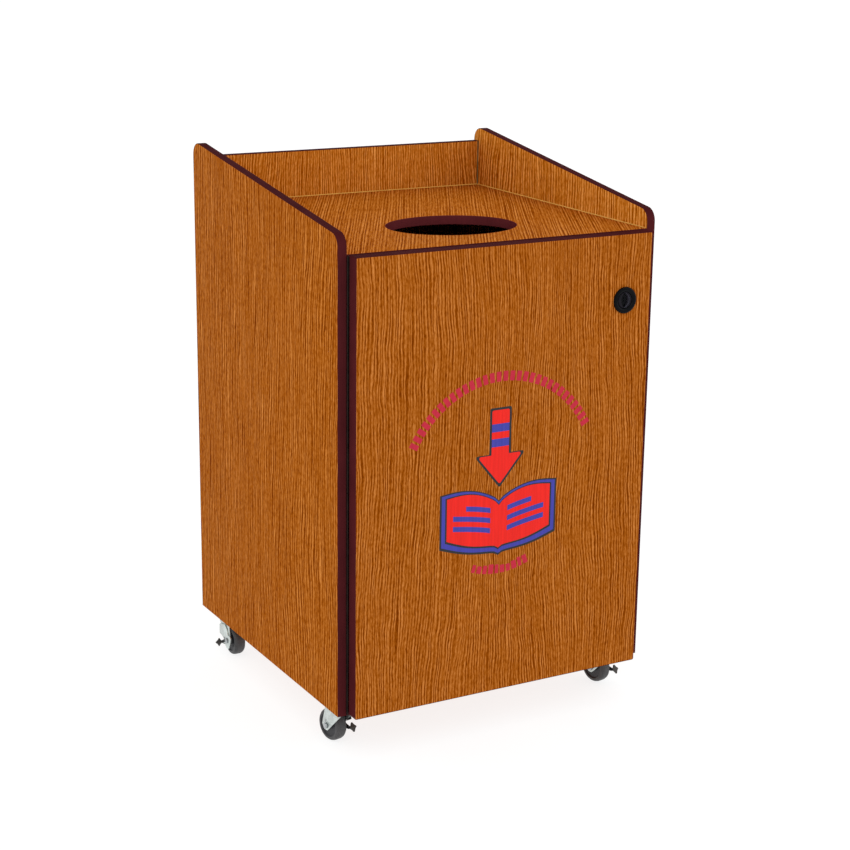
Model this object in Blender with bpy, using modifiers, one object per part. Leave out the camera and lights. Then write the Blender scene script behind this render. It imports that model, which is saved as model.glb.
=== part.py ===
"""Book drop box: a lockable laminated cabinet on four braked swivel casters,
with an oval drop hole in its top and a removable bin inside.

Units are metres, +Z is up and the door faces -Y.  The origin is on the floor,
under the centre of the outer box.  Lengths below are written in millimetres
and turned into metres by mm().
"""
import math

import bmesh
import bpy
from mathutils import Matrix, Vector

# ---------------------------------------------------------------- dimensions
MM = 0.001
WIDTH = 610.0            # over the two side panels
DEPTH = 587.5            # side panels, front edge to back edge
BOARD = 16.0             # laminated board
BAND = 1.0               # edge band, as it stands on the board edge
GAP = 0.3                # assembly gap between touching pieces
CASTER_H = 75.0          # floor to the underside of the cabinet
TOP_Z = 787.2            # upper face of the top panel, above the cabinet base
SLOPE_Z0 = 818.4         # side panel top line at its front edge
SLOPE = 0.1409           # rise of that line per unit of depth
CORNER_R = 23.0          # outline corners of the side panels
BACK_TOP = 872.7         # top of the back panel
HOLE_Y = 172.9           # drop hole centre behind the front edge
HOLE_RX = 118.0          # drop hole, half its width
HOLE_RY = 99.5           # drop hole, half its depth
DOOR_T = 23.5
DOOR_GAP = 4.0           # door back to cabinet front
DOOR_X0 = -286.6
DOOR_X1 = 281.0
DOOR_Z0 = 1.8
DOOR_Z1 = 786.4
HINGE_X = -288.3
HINGE_Y = -2.4
HINGE_R = 1.9
HINGE_PIN_R = 0.8
LOCK_X = 228.4
LOCK_Z = 672.3
LOCK_R = 23.0            # bezel
CAM_L = 55.0
CASTER_X = 274.0         # swivel axes
CASTER_Y = (53.0, 524.5)
WHEEL_R = 28.5
WHEEL_W = 22.0
TRAIL = 21.0             # wheel centre behind its swivel axis
FORK_IN = 12.4           # half the space between the fork's legs
FORK_OUT = 14.4
BEZEL_OUT = 3.5          # bezel in front of the door

INNER = WIDTH / 2 - BOARD                     # inner face of a side panel
DOOR_FRONT = -(DOOR_GAP + DOOR_T)
Y_SHIFT = -(DEPTH + (DOOR_FRONT - BEZEL_OUT)) / 2
BACK_Y = DEPTH - BOARD                        # front face of the back panel


def P(x, y, z):
    """Cabinet millimetres (y from the front edge, z from the base) to metres."""
    return Vector((x * MM, (y + Y_SHIFT) * MM, (z + CASTER_H) * MM))


# ------------------------------------------------------------------- scene
for o in list(bpy.data.objects):
    bpy.data.objects.remove(o, do_unlink=True)
for c in list(bpy.data.collections):
    bpy.data.collections.remove(c)

PARTS = bpy.data.collections.new("book_drop_box")
CUTTERS = bpy.data.collections.new("cutters")
bpy.context.scene.collection.children.link(PARTS)
bpy.context.scene.collection.children.link(CUTTERS)


def material(name, rgb, rough, metal=0.0):
    m = bpy.data.materials.new(name)
    m.use_nodes = True
    b = m.node_tree.nodes["Principled BSDF"]
    b.inputs["Base Color"].default_value = (rgb[0], rgb[1], rgb[2], 1.0)
    b.inputs["Roughness"].default_value = rough
    b.inputs["Metallic"].default_value = metal
    m.diffuse_color = (rgb[0], rgb[1], rgb[2], 1.0)
    return m


OAK = (0.43, 0.13, 0.015)
EDGE = (0.065, 0.011, 0.013)
ZINC = (0.55, 0.56, 0.58)
BRONZED = (0.03, 0.025, 0.022)
BLACK = (0.012, 0.012, 0.013)
RUBBER = (0.03, 0.03, 0.032)
WHITEWOOD = (0.62, 0.45, 0.25)


def finish(obj, rgb, rough, metal=0.0, coll=None):
    obj.data.materials.clear()
    obj.data.materials.append(material(obj.name + "_mat", rgb, rough, metal))
    (coll or PARTS).objects.link(obj)
    return obj


def as_cutter(obj):
    for c in obj.users_collection:
        c.objects.unlink(obj)
    CUTTERS.objects.link(obj)
    obj.hide_render = True
    obj.display_type = 'WIRE'
    return obj


def box(name, x, y, z, rgb=OAK, rough=0.4, metal=0.0, bevel=0.0):
    """A block between the given limits (cabinet millimetres)."""
    lo, hi = P(x[0], y[0], z[0]), P(x[1], y[1], z[1])
    bm = bmesh.new()
    bmesh.ops.create_cube(bm, size=1.0)
    s = hi - lo
    bmesh.ops.scale(bm, vec=s, verts=bm.verts)
    me = bpy.data.meshes.new(name)
    bm.to_mesh(me)
    bm.free()
    o = bpy.data.objects.new(name, me)
    o.location = (lo + hi) / 2
    finish(o, rgb, rough, metal)
    if bevel:
        b = o.modifiers.new("bevel", 'BEVEL')
        b.width = bevel * MM
        b.segments = 1
        b.limit_method = 'ANGLE'
    return o


FACE_SIDE = (math.pi / 2, 0.0, math.pi / 2)      # outline drawn in (y, z)
FACE_FRONT = (math.pi / 2, 0.0, 0.0)             # outline drawn in (x, z)
FACE_TOP = (0.0, 0.0, 0.0)                       # outline drawn in (x, y)


def outline(name, loops, thick, centre, face, rgb=OAK, rough=0.4, metal=0.0):
    """A flat piece: closed outlines in millimetres, extruded to thick."""
    cu = bpy.data.curves.new(name, 'CURVE')
    cu.dimensions = '2D'
    cu.fill_mode = 'BOTH'
    cu.extrude = thick * MM / 2
    for pts in loops:
        sp = cu.splines.new('POLY')
        sp.points.add(len(pts) - 1)
        for i, (a, b) in enumerate(pts):
            sp.points[i].co = (a * MM, b * MM, 0.0, 1.0)
        sp.use_cyclic_u = True
    o = bpy.data.objects.new(name, cu)
    o.location = centre
    o.rotation_euler = face
    return finish(o, rgb, rough, metal)


def to_mesh(o):
    """Turn a curve piece into a closed mesh piece in the same place."""
    bpy.context.view_layer.update()
    dg = bpy.context.evaluated_depsgraph_get()
    me = bpy.data.meshes.new_from_object(o.evaluated_get(dg), depsgraph=dg)
    bm = bmesh.new()
    bm.from_mesh(me)
    bmesh.ops.remove_doubles(bm, verts=bm.verts, dist=1e-6)
    bmesh.ops.recalc_face_normals(bm, faces=bm.faces)
    bm.to_mesh(me)
    bm.free()
    n = bpy.data.objects.new(o.name + "_m", me)
    n.matrix_world = o.matrix_world.copy()
    mats = list(o.data.materials)
    me.materials.clear()
    for m in mats:
        me.materials.append(m)
    name = o.name
    for c in o.users_collection:
        c.objects.link(n)
    bpy.data.objects.remove(o, do_unlink=True)
    n.name = name
    return n


def turned(name, prof, centre, axis='Z', steps=32, rgb=ZINC, rough=0.4,
           metal=0.0, closed=False):
    """A turned piece: (radius, height) profile in millimetres about axis.
    The outer side runs from the high end to the low end."""
    bm = bmesh.new()
    vs = [bm.verts.new((r * MM, 0.0, h * MM)) for r, h in prof]
    for a, b in zip(vs, vs[1:]):
        bm.edges.new((a, b))
    if closed:
        bm.edges.new((vs[-1], vs[0]))
    me = bpy.data.meshes.new(name)
    bm.to_mesh(me)
    bm.free()
    o = bpy.data.objects.new(name, me)
    o.location = centre
    o.rotation_euler = {'Z': (0, 0, 0), 'X': (0, math.pi / 2, 0),
                        'Y': (-math.pi / 2, 0, 0), '-Y': (math.pi / 2, 0, 0)}[axis]
    finish(o, rgb, rough, metal)
    s = o.modifiers.new("screw", 'SCREW')
    s.axis = 'Z'
    s.steps = steps
    s.render_steps = steps
    s.use_merge_vertices = True
    s.merge_threshold = 1e-5
    s.use_smooth_shade = True
    return o


def join_cut(obj, other, op):
    m = obj.modifiers.new(op.lower(), 'BOOLEAN')
    m.operation = op
    m.solver = 'EXACT'
    m.object = as_cutter(other)
    return obj


def cyl_cutter(name, r, a, b, centre, axis, steps=32):
    """A round cutter from height a to b (a < b) about axis."""
    return turned(name, [(0, b), (r, b), (r, a), (0, a)], centre, axis, steps)


def empty(name, loc, parent=None):
    e = bpy.data.objects.new(name, None)
    e.empty_display_size = 0.03
    e.location = loc
    PARTS.objects.link(e)
    if parent is not None:
        e.parent = parent
        e.matrix_parent_inverse = Matrix.Translation(-WORLD[parent.name])
    WORLD[name] = Vector(loc)
    return e


WORLD = {}


def attach(parent, *objs):
    """Parent the pieces to the empty on their joint's axis, in place."""
    for o in objs:
        o.parent = parent
        o.matrix_parent_inverse = Matrix.Translation(-WORLD[parent.name])


# ------------------------------------------------------------ outline makers
def rounded(points, radii, seg=6):
    """Closed polygon with its corners rounded, in the order given."""
    out = []
    n = len(points)
    for i in range(n):
        p = Vector(points[i])
        r = radii[i]
        if r <= 0:
            out.append((p.x, p.y))
            continue
        a = (Vector(points[i - 1]) - p).normalized()
        b = (Vector(points[(i + 1) % n]) - p).normalized()
        half = a.angle(b) / 2
        t = r / math.tan(half)
        c = p + (a + b).normalized() * (r / math.sin(half))
        s = p + a * t - c
        e = p + b * t - c
        full = s.angle(e)
        cross = s.x * e.y - s.y * e.x
        sign = 1 if cross > 0 else -1
        for k in range(seg + 1):
            th = sign * full * k / seg
            q = Vector((s.x * math.cos(th) - s.y * math.sin(th),
                        s.x * math.sin(th) + s.y * math.cos(th)))
            out.append((c.x + q.x, c.y + q.y))
    return out


def ellipse(rx, ry, n=48, cx=0.0, cy=0.0):
    return [(cx + rx * math.cos(2 * math.pi * i / n),
             cy + ry * math.sin(2 * math.pi * i / n)) for i in range(n)]


def side_path(inset):
    """Side panel outline from the foot of the front edge, up, along the
    slope and down the back edge, inset from the outer line."""
    k = math.hypot(1.0, SLOPE)
    y0, y1 = inset, DEPTH - inset

    def top(y):
        return SLOPE_Z0 + SLOPE * y - inset * k

    r = CORNER_R - inset
    pts = [(y0, 0.0), (y0, top(y0)), (y1, top(y1)), (y1, 0.0)]
    return rounded(pts, [0, r, r, 0])


# ------------------------------------------------------------------ cabinet
def side(sign):
    tag = "left" if sign < 0 else "right"
    xc = sign * (WIDTH / 2 - BOARD / 2)
    c = P(xc, 0, 0)
    panel = outline(tag + "_side_panel", [side_path(BAND)], BOARD, c,
                    FACE_SIDE, OAK, 0.35)
    outer = side_path(0.0)
    inner = side_path(BAND - GAP)
    band = outline(tag + "_side_edge_band", [outer + inner[::-1]], BOARD, c,
                   FACE_SIDE, EDGE, 0.35)
    return panel, band


side(-1)
side(1)

xin = INNER - GAP
box("back_panel", (-xin, xin), (BACK_Y, DEPTH), (0, BACK_TOP - BAND))
box("back_edge_band", (-xin, xin), (BACK_Y, DEPTH),
    (BACK_TOP - BAND + GAP, BACK_TOP), EDGE, 0.35, bevel=0.6)

top = outline("top_panel",
              [[(-xin, BAND), (xin, BAND), (xin, BACK_Y - GAP),
                (-xin, BACK_Y - GAP)],
               ellipse(HOLE_RX + GAP, HOLE_RY + GAP, 48, 0, HOLE_Y)[::-1]],
              BOARD, P(0, 0, TOP_Z - BOARD / 2), FACE_TOP)
box("top_front_edge_band", (-xin, xin), (0, BAND - GAP),
    (TOP_Z - BOARD, TOP_Z), EDGE, 0.35)
outline("drop_hole_edge_band",
        [ellipse(HOLE_RX, HOLE_RY, 48, 0, HOLE_Y),
         ellipse(HOLE_RX - BAND, HOLE_RY - BAND, 48, 0, HOLE_Y)[::-1]],
        BOARD, P(0, 0, TOP_Z - BOARD / 2), FACE_TOP, EDGE, 0.35)

box("bottom_panel", (-xin, xin), (BAND, BACK_Y - GAP), (0, BOARD))
box("bottom_front_edge_band", (-xin, xin), (0, BAND - GAP), (0, BOARD),
    EDGE, 0.35)

CLEAT = 19.0
for sign, tag in ((-1, "left"), (1, "right")):
    xa, xb = sorted((sign * xin, sign * (xin - CLEAT)))
    box("top_cleat_" + tag, (xa, xb), (32, BACK_Y - 10),
        (TOP_Z - BOARD - GAP - CLEAT, TOP_Z - BOARD - GAP), WHITEWOOD, 0.6,
        bevel=1.0)
    box("bottom_cleat_" + tag, (xa, xb), (32, BACK_Y - 10),
        (BOARD + GAP, BOARD + GAP + CLEAT), WHITEWOOD, 0.6, bevel=1.0)

# strike: an angle on the right side panel, in front of the locked cam
SK = (LOCK_X + CAM_L - 14.0, xin)
strike_l = box("strike_plate", (xin - 2.0, xin), (1.0, 29.0),
               (LOCK_Z - 22, LOCK_Z + 22), ZINC, 0.35, 1.0)
strike_f = box("strike_lip_add", (SK[0], xin - 0.5), (1.0, 3.0),
               (LOCK_Z - 22, LOCK_Z + 22), ZINC, 0.35, 1.0)
join_cut(strike_l, strike_f, 'UNION')

# --------------------------------------------------------------------- door
door_axis = empty("door_axis", P(HINGE_X, HINGE_Y, CASTER_H))
dw, dh = DOOR_X1 - DOOR_X0, DOOR_Z1 - DOOR_Z0
dcx, dcz = (DOOR_X0 + DOOR_X1) / 2, (DOOR_Z0 + DOOR_Z1) / 2


def rect(w, h, r):
    return rounded([(-w / 2, -h / 2), (w / 2, -h / 2), (w / 2, h / 2),
                    (-w / 2, h / 2)], [r] * 4, 3)


LOCK_BODY_R = 16.0
dc = P(dcx, DOOR_FRONT + DOOR_T / 2, dcz)
lock_hole = ellipse(LOCK_BODY_R + GAP, LOCK_BODY_R + GAP, 24,
                    LOCK_X - dcx, LOCK_Z - dcz)
door = outline("door_panel", [rect(dw - 2 * BAND, dh - 2 * BAND, 1.5),
                              lock_hole[::-1]],
               DOOR_T, dc, FACE_FRONT)
dband = outline("door_edge_band",
                [rect(dw, dh, 3.0),
                 rect(dw - 2 * BAND + 2 * GAP, dh - 2 * BAND + 2 * GAP,
                      1.5)[::-1]],
                DOOR_T, dc, FACE_FRONT, EDGE, 0.35)

# continuous hinge: two leaves with alternating knuckles on one pin
HZ0, HZ1 = 3.0, 785.0
KNUCKLES = 10
LEAF_T = 0.8
LEAF_W = 22.0
knuckle_l = (HZ1 - HZ0) / KNUCKLES


def knuckle_piece(name, which, x, y, z):
    leaf = box(name, x, y, z, BRONZED, 0.4, 1.0)
    for i in range(which, KNUCKLES, 2):
        a = HZ0 + i * knuckle_l + 0.25
        b = HZ0 + (i + 1) * knuckle_l - 0.25
        clear = box("%s_clear_%d" % (name, i),
                    (HINGE_X - 3, HINGE_X + 3), (HINGE_Y - 3, HINGE_Y + 3),
                    (HZ0 + (i + 1) * knuckle_l - 0.25,
                     HZ0 + (i + 2) * knuckle_l + 0.25))
        join_cut(leaf, clear, 'DIFFERENCE')
        ring = turned("%s_knuckle_%d" % (name, i),
                      [(HINGE_PIN_R + GAP, b), (HINGE_R, b), (HINGE_R, a),
                       (HINGE_PIN_R + GAP, a)],
                      P(HINGE_X, HINGE_Y, 0), 'Z', 12, closed=True)
        join_cut(leaf, ring, 'UNION')
    return leaf


cab_leaf = knuckle_piece("hinge_cabinet_leaf", 0,
                         (-xin, -xin + LEAF_T), (HINGE_Y + 1.5, LEAF_W),
                         (BOARD + GAP, TOP_Z - BOARD - GAP))
door_leaf = knuckle_piece("hinge_door_leaf", 1,
                          (HINGE_X + 1.5, HINGE_X + 1.5 + LEAF_W),
                          (-DOOR_GAP + GAP, -DOOR_GAP + GAP + LEAF_T),
                          (HZ0, HZ1))
# the door leaf is cut back where the cabinet leaf's first knuckle sits
first = box("hinge_door_leaf_clear_a", (HINGE_X - 3, HINGE_X + 3),
            (HINGE_Y - 3, HINGE_Y + 3), (HZ0 - 1, HZ0 + knuckle_l + 0.25))
m = door_leaf.modifiers.new("first", 'BOOLEAN')
m.operation = 'DIFFERENCE'
m.solver = 'EXACT'
m.object = as_cutter(first)
door_leaf.modifiers.move(len(door_leaf.modifiers) - 1, 0)
pin = turned("hinge_pin", [(0, HZ1 + 1.0), (HINGE_PIN_R, HZ1 + 1.0),
                           (HINGE_PIN_R, HZ0 - 1.0), (0, HZ0 - 1.0)],
             P(HINGE_X, HINGE_Y, 0), 'Z', 12, BRONZED, 0.4, 1.0)

# cam lock: bezel and body, back nut, plug, cam and its screw
lc = P(LOCK_X, 0, LOCK_Z)
BODY_BACK = 5.0
F = -DOOR_FRONT                               # door front, towards the user
# heights run towards the user (-Y)
body = turned("lock_housing",
              [(14.5, F + 1.6), (16.5, F + 3.0), (18.0, F + BEZEL_OUT),
               (20.5, F + BEZEL_OUT), (22.3, F + 2.9), (LOCK_R, F + 1.6),
               (LOCK_R, F + GAP), (LOCK_BODY_R, F + GAP),
               (LOCK_BODY_R, -BODY_BACK), (8.3, -BODY_BACK), (8.3, F - 4.6),
               (14.5, F - 4.6)],
              lc, '-Y', 32, BLACK, 0.35, closed=True)
nut = outline("lock_nut",
              [[(23.0 * math.cos(math.radians(60 * i)),
                 23.0 * math.sin(math.radians(60 * i))) for i in range(6)],
               ellipse(LOCK_BODY_R + GAP, LOCK_BODY_R + GAP, 24)[::-1]],
              4.0, P(LOCK_X, -DOOR_GAP + GAP + 2.0, LOCK_Z), FACE_FRONT,
              ZINC, 0.35, 1.0)
lock_axis = empty("lock_axis", lc, door_axis)
plug = turned("lock_plug",
              [(0, F + 1.2), (13.4, F + 1.2), (14.2, F + 0.4), (14.2, F - 4.3),
               (8.0, F - 4.3), (8.0, -BODY_BACK - 0.3), (4.5, -BODY_BACK - 0.3),
               (4.5, -BODY_BACK - 3.0), (0, -BODY_BACK - 3.0)],
              lc, '-Y', 28, BLACK, 0.35)
# a lens-shaped finger recess with the keyway at its bottom
half_w, half_h = 5.5, 12.0
lens_r = (half_w ** 2 + half_h ** 2) / (2 * half_w)
lens_a = math.asin(half_h / lens_r)
lens = []
for sgn in (1, -1):
    for k in range(9 if sgn > 0 else 8):
        th = -lens_a + 2 * lens_a * (k / 8)
        lens.append((sgn * (lens_r * math.cos(th) - (lens_r - half_w)),
                     sgn * lens_r * math.sin(th)))
lens = lens[:-1] if lens[-1] == lens[0] else lens
recess = to_mesh(outline("lock_recess_cut", [lens], 6.4,
                         P(LOCK_X, DOOR_FRONT, LOCK_Z), FACE_FRONT))
join_cut(plug, recess, 'DIFFERENCE')
slot = box("keyway_cut", (LOCK_X - 0.8, LOCK_X + 0.8),
           (DOOR_FRONT - 3, DOOR_FRONT + 9), (LOCK_Z - 4.5, LOCK_Z + 4.5))
join_cut(plug, slot, 'DIFFERENCE')
cam_pts = rounded([(-7, 9), (-7, -CAM_L), (7, -CAM_L), (7, 9)],
                  [6.5, 4, 4, 6.5], 4)
cam = outline("lock_cam", [cam_pts, ellipse(4.5 + GAP, 4.5 + GAP, 16)[::-1]],
              2.0, P(LOCK_X, BODY_BACK + 2.0, LOCK_Z), FACE_FRONT,
              ZINC, 0.35, 1.0)
cam_screw = turned("lock_cam_screw",
                   [(0, 0), (6.0, 0), (6.0, -2.2), (4.4, -3.2), (0, -3.2)],
                   P(LOCK_X, BODY_BACK + 3.0 + GAP, LOCK_Z), '-Y', 16,
                   ZINC, 0.35, 1.0)

attach(door_axis, door, dband, door_leaf, body, nut)
attach(lock_axis, plug, cam, cam_screw)

# ---------------------------------------------------------------------- bin
BIN_Z0, BIN_Z1 = BOARD + GAP, 668.0
BIN_TOP = (480.0, 470.0)
BIN_BASE = (400.0, 400.0)
BIN_CY = 300.0
BIN_WALL = 3.0


def make_bin():
    bm = bmesh.new()
    bmesh.ops.create_cube(bm, size=1.0)
    for v in bm.verts:
        up = v.co.z > 0
        w, d = BIN_TOP if up else BIN_BASE
        v.co = Vector((math.copysign(w / 2, v.co.x), math.copysign(d / 2, v.co.y),
                       (BIN_Z1 if up else BIN_Z0))) * MM
    topf = [f for f in bm.faces if f.normal.z > 0.9 or
            all(abs(v.co.z - BIN_Z1 * MM) < 1e-9 for v in f.verts)]
    bmesh.ops.delete(bm, geom=topf, context='FACES_ONLY')
    vert_edges = [e for e in bm.edges
                  if abs(e.verts[0].co.z - e.verts[1].co.z) > 0.1]
    bmesh.ops.bevel(bm, geom=vert_edges, offset=38 * MM, segments=5,
                    profile=0.5, affect='EDGES')
    base_edges = [e for e in bm.edges
                  if all(abs(v.co.z - BIN_Z0 * MM) < 1e-6 for v in e.verts)
                  and len(e.link_faces) == 2]
    bmesh.ops.bevel(bm, geom=base_edges, offset=9 * MM, segments=2,
                    profile=0.5, affect='EDGES')
    # rolled rim: out and then down
    for dx, dz in ((14 * MM, 0.0), (1.5 * MM, -16 * MM)):
        rim = [e for e in bm.edges if len(e.link_faces) == 1]
        r = bmesh.ops.extrude_edge_only(bm, edges=rim)
        vs = [g for g in r["geom"] if isinstance(g, bmesh.types.BMVert)]
        for v in vs:
            n = Vector((v.co.x, v.co.y, 0))
            cx = max(-1.0, min(1.0, v.co.x / (BIN_TOP[0] / 2 * MM)))
            cy = max(-1.0, min(1.0, v.co.y / (BIN_TOP[1] / 2 * MM)))
            v.co.x += dx * cx
            v.co.y += dx * cy
            v.co.z += dz
    bmesh.ops.recalc_face_normals(bm, faces=bm.faces)
    me = bpy.data.meshes.new("bin")
    bm.to_mesh(me)
    bm.free()
    o = bpy.data.objects.new("bin", me)
    o.location = P(0, BIN_CY, 0)
    finish(o, BLACK, 0.5)
    s = o.modifiers.new("wall", 'SOLIDIFY')
    s.thickness = BIN_WALL * MM
    s.offset = 1.0
    s.use_even_offset = True
    s.use_quality_normals = True
    return o


make_bin()


# ------------------------------------------------------------------ casters
AXLE_Z = -(CASTER_H - WHEEL_R)


def spin(objs, centre, axis, degrees):
    """Turn pieces and their cutters together about a line through centre."""
    turn = (Matrix.Translation(centre)
            @ Matrix.Rotation(math.radians(degrees), 4, axis)
            @ Matrix.Translation(-centre))
    for o in objs:
        o.matrix_basis = turn @ o.matrix_basis
    return turn


def caster(tag, cx, cy, s, swivel_deg, press_deg):
    """One swivel caster.  s is +1 when it trails to +Y with its brake lever
    on +X, and -1 for the same caster turned half round.  It stands swivelled
    by swivel_deg, with its brake lever pressed down by press_deg."""
    top = P(cx, cy, 0)                         # swivel axis at the cabinet base
    wy = cy + s * TRAIL
    wc = P(cx, wy, AXLE_Z)                     # wheel centre
    pre = "caster_" + tag

    # mounting plate with its four screw holes
    plate = outline(pre + "_plate",
                    [rounded([(-24, -30), (24, -30), (24, 30), (-24, 30)],
                             [5] * 4, 3)] +
                    [ellipse(2.6, 2.6, 8, sx * 18.0, sy * 24.0)[::-1]
                     for sx in (-1, 1) for sy in (-1, 1)] +
                    [ellipse(4.0 + GAP, 4.0 + GAP, 12)[::-1]],
                    2.2, P(cx, cy, -GAP - 1.1), FACE_TOP, ZINC, 0.35, 1.0)
    kingpin = turned(pre + "_kingpin",
                     [(0, -1.0), (4.0, -1.0), (4.0, -12.3), (7.0, -12.3),
                      (7.0, -14.0), (5.5, -15.0), (0, -15.0)],
                     top, 'Z', 12, ZINC, 0.35, 1.0)
    fixed = set(bpy.data.objects)
    # fork: a bent yoke, broad at its crown, narrowing to the axle
    zt = -9.0
    h = zt - AXLE_Z                            # crown above the axle
    leg = rounded([(s * a, AXLE_Z + b) for a, b in
                   ((TRAIL - 42.0, h), (TRAIL - 42.0, h - 6.0),
                    (TRAIL - 10.5, -1.5), (TRAIL - 3.0, -8.6),
                    (TRAIL + 4.5, -8.6), (TRAIL + 12.0, 0.5),
                    (TRAIL + 4.0, h - 6.0), (TRAIL + 4.0, h))],
                  [3, 3, 8, 2.5, 2.5, 5, 6, 3], 2)
    fork = to_mesh(outline(pre + "_fork", [leg], 2 * FORK_OUT, P(cx, cy, 0),
                           FACE_SIDE, ZINC, 0.35, 1.0))
    join_cut(fork, box(pre + "_fork_slot", (cx - FORK_IN, cx + FORK_IN),
                       (cy - 60, cy + 60), (AXLE_Z - 20, zt - 2.6)),
             'DIFFERENCE')
    race = turned(pre + "_race_add",
                  [(0, -3.0), (14.0, -3.0), (17.5, -5.0), (17.5, -7.2),
                   (15.5, zt - 0.6), (0, zt - 0.6)], top, 'Z', 20)
    join_cut(fork, race, 'UNION')
    join_cut(fork, cyl_cutter(pre + "_pin_cut", 4.0 + GAP, -20.0, 0.0, top,
                              'Z', 12), 'DIFFERENCE')
    join_cut(fork, cyl_cutter(pre + "_axle_cut", 3.0 + GAP, -30.0, 30.0, wc,
                              'X', 12), 'DIFFERENCE')
    # axle: its plain head outside one leg, its nut outside the brake lever
    f = FORK_OUT + GAP
    g = f + 2.2 + GAP
    ends = ((g, g + 2.8), (f, f + 2.8))        # lever side, plain side
    (pa, pb), (na, nb) = ends if s > 0 else ends[::-1]
    axle = turned(pre + "_axle",
                  [(0, pb), (5.0, pb), (5.6, pb - 0.6), (5.6, pa), (3.0, pa),
                   (3.0, -na), (5.6, -na), (5.6, 0.6 - nb), (5.0, -nb),
                   (0, -nb)], wc, 'X', 12, ZINC, 0.3, 1.0)
    w = WHEEL_W / 2
    R = WHEEL_R
    wheel = turned(pre + "_wheel",
                   [(3.3, w + 0.8), (7.5, w + 0.8), (8.0, w - 2.5),
                    (20.5, w - 2.5), (22.0, w - 0.2), (R - 3.0, w - 0.6),
                    (R, w - 5.0), (R, 5.0 - w), (R - 3.0, 0.6 - w),
                    (22.0, 0.2 - w), (20.5, 2.5 - w), (8.0, 2.5 - w),
                    (7.5, -w - 0.8), (3.3, -w - 0.8)],
                   wc, 'X', 24, RUBBER, 0.6, closed=True)
    # brake lever: a cheek plate on the axle with a toe prong and diamond pad
    before = set(bpy.data.objects)
    xm = s * (f + 1.1)
    arm = rounded([(-s * a, b) for a, b in
                   ((-10.5, -8.5), (-18.5, 2.5), (-17.5, 8.0), (-8.5, 9.5),
                    (-7.0, 22.0), (0.0, 31.0), (23.0, 33.0), (26.5, 31.0),
                    (31.5, 14.5), (26.0, 11.5), (11.0, 2.5), (27.0, -0.5),
                    (27.0, -5.5), (11.5, -8.0), (6.5, -15.5), (-1.0, -16.5))],
                  [5, 3, 3, 3, 4, 4, 2, 2, 2, 3, 2, 1, 1, 2, 4, 4], 2)
    lever = to_mesh(outline(pre + "_brake_lever",
                            [arm, ellipse(3.0 + GAP, 3.0 + GAP, 12)[::-1]],
                            2.2, P(cx + xm, wy, AXLE_Z), FACE_SIDE, BLACK,
                            0.45))
    star = []
    for i in range(4):                         # a diamond with hollow sides
        a0 = math.pi / 2 * i
        rx, rz = 6.6, 8.6
        star.append((rx * math.cos(a0), rz * math.sin(a0)))
        star.append((0.56 * rx * math.cos(a0 + math.pi / 4),
                     0.56 * rz * math.sin(a0 + math.pi / 4)))
    tilt = math.radians(62.0)
    pad = to_mesh(outline(pre + "_brake_pad_add", [star], 3.0,
                          P(cx + s * 21.0, wy - s * 28.5, AXLE_Z - 3.0),
                          (s * tilt, 0.0, 0.0), BLACK, 0.45))
    neck = box(pre + "_brake_neck_add",
               sorted((cx + s * (f + 0.4), cx + s * 21.5)),
               sorted((wy - s * 28.6, wy - s * 25.6)),
               (AXLE_Z - 4.8, AXLE_Z - 1.4))
    join_cut(lever, neck, 'UNION')
    join_cut(lever, pad, 'UNION')

    spin(set(bpy.data.objects) - before, wc, 'X', s * press_deg)
    turn = spin(set(bpy.data.objects) - fixed, top, 'Z', swivel_deg)
    swivel = empty(pre + "_swivel_axis", top)
    lever_axis = empty(pre + "_lever_axis", turn @ wc, swivel)
    attach(swivel, fork, axle, wheel)
    attach(lever_axis, lever)


caster("front_left", -CASTER_X, CASTER_Y[0], 1, 10.0, 0.0)
caster("front_right", CASTER_X, CASTER_Y[0], 1, 10.0, 0.0)
caster("rear_left", -CASTER_X, CASTER_Y[1], -1, 0.0, 18.0)
caster("rear_right", CASTER_X, CASTER_Y[1], -1, 0.0, 0.0)

bpy.context.view_layer.update()
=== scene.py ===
"""Looks of the book drop box: a laminated cabinet on braked swivel casters,
with an oval drop hole in its recessed top, a hinged door and a round cam lock.

Lengths are in millimetres of the cabinet (x from the centre, y from the side
panels' front edge, z from the cabinet's base) and P() turns them into metres
of the shared frame.
"""

import math

import bmesh
import bpy
from mathutils import Matrix, Vector


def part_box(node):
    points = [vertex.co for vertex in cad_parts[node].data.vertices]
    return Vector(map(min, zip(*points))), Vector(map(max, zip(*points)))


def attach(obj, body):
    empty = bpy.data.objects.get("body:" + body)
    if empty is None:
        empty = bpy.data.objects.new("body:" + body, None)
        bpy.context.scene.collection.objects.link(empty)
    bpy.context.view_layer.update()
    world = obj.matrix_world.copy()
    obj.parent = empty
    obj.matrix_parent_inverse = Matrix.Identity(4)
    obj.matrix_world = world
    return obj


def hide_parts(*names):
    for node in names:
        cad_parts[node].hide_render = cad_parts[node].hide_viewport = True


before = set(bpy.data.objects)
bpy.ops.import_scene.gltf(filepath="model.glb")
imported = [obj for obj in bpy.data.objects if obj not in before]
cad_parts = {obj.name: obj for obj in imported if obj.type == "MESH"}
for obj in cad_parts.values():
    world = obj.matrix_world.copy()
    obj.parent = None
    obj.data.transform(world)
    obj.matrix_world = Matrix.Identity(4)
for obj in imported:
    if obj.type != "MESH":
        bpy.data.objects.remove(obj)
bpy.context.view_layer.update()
MM = 0.001

# the cabinet's own origin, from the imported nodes
Y0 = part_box("left_side_edge_band")[0].y
Z0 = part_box("left_side_panel")[0].z


def P(x, y, z):
    return Vector((x * MM, y * MM + Y0, z * MM + Z0))


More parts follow.
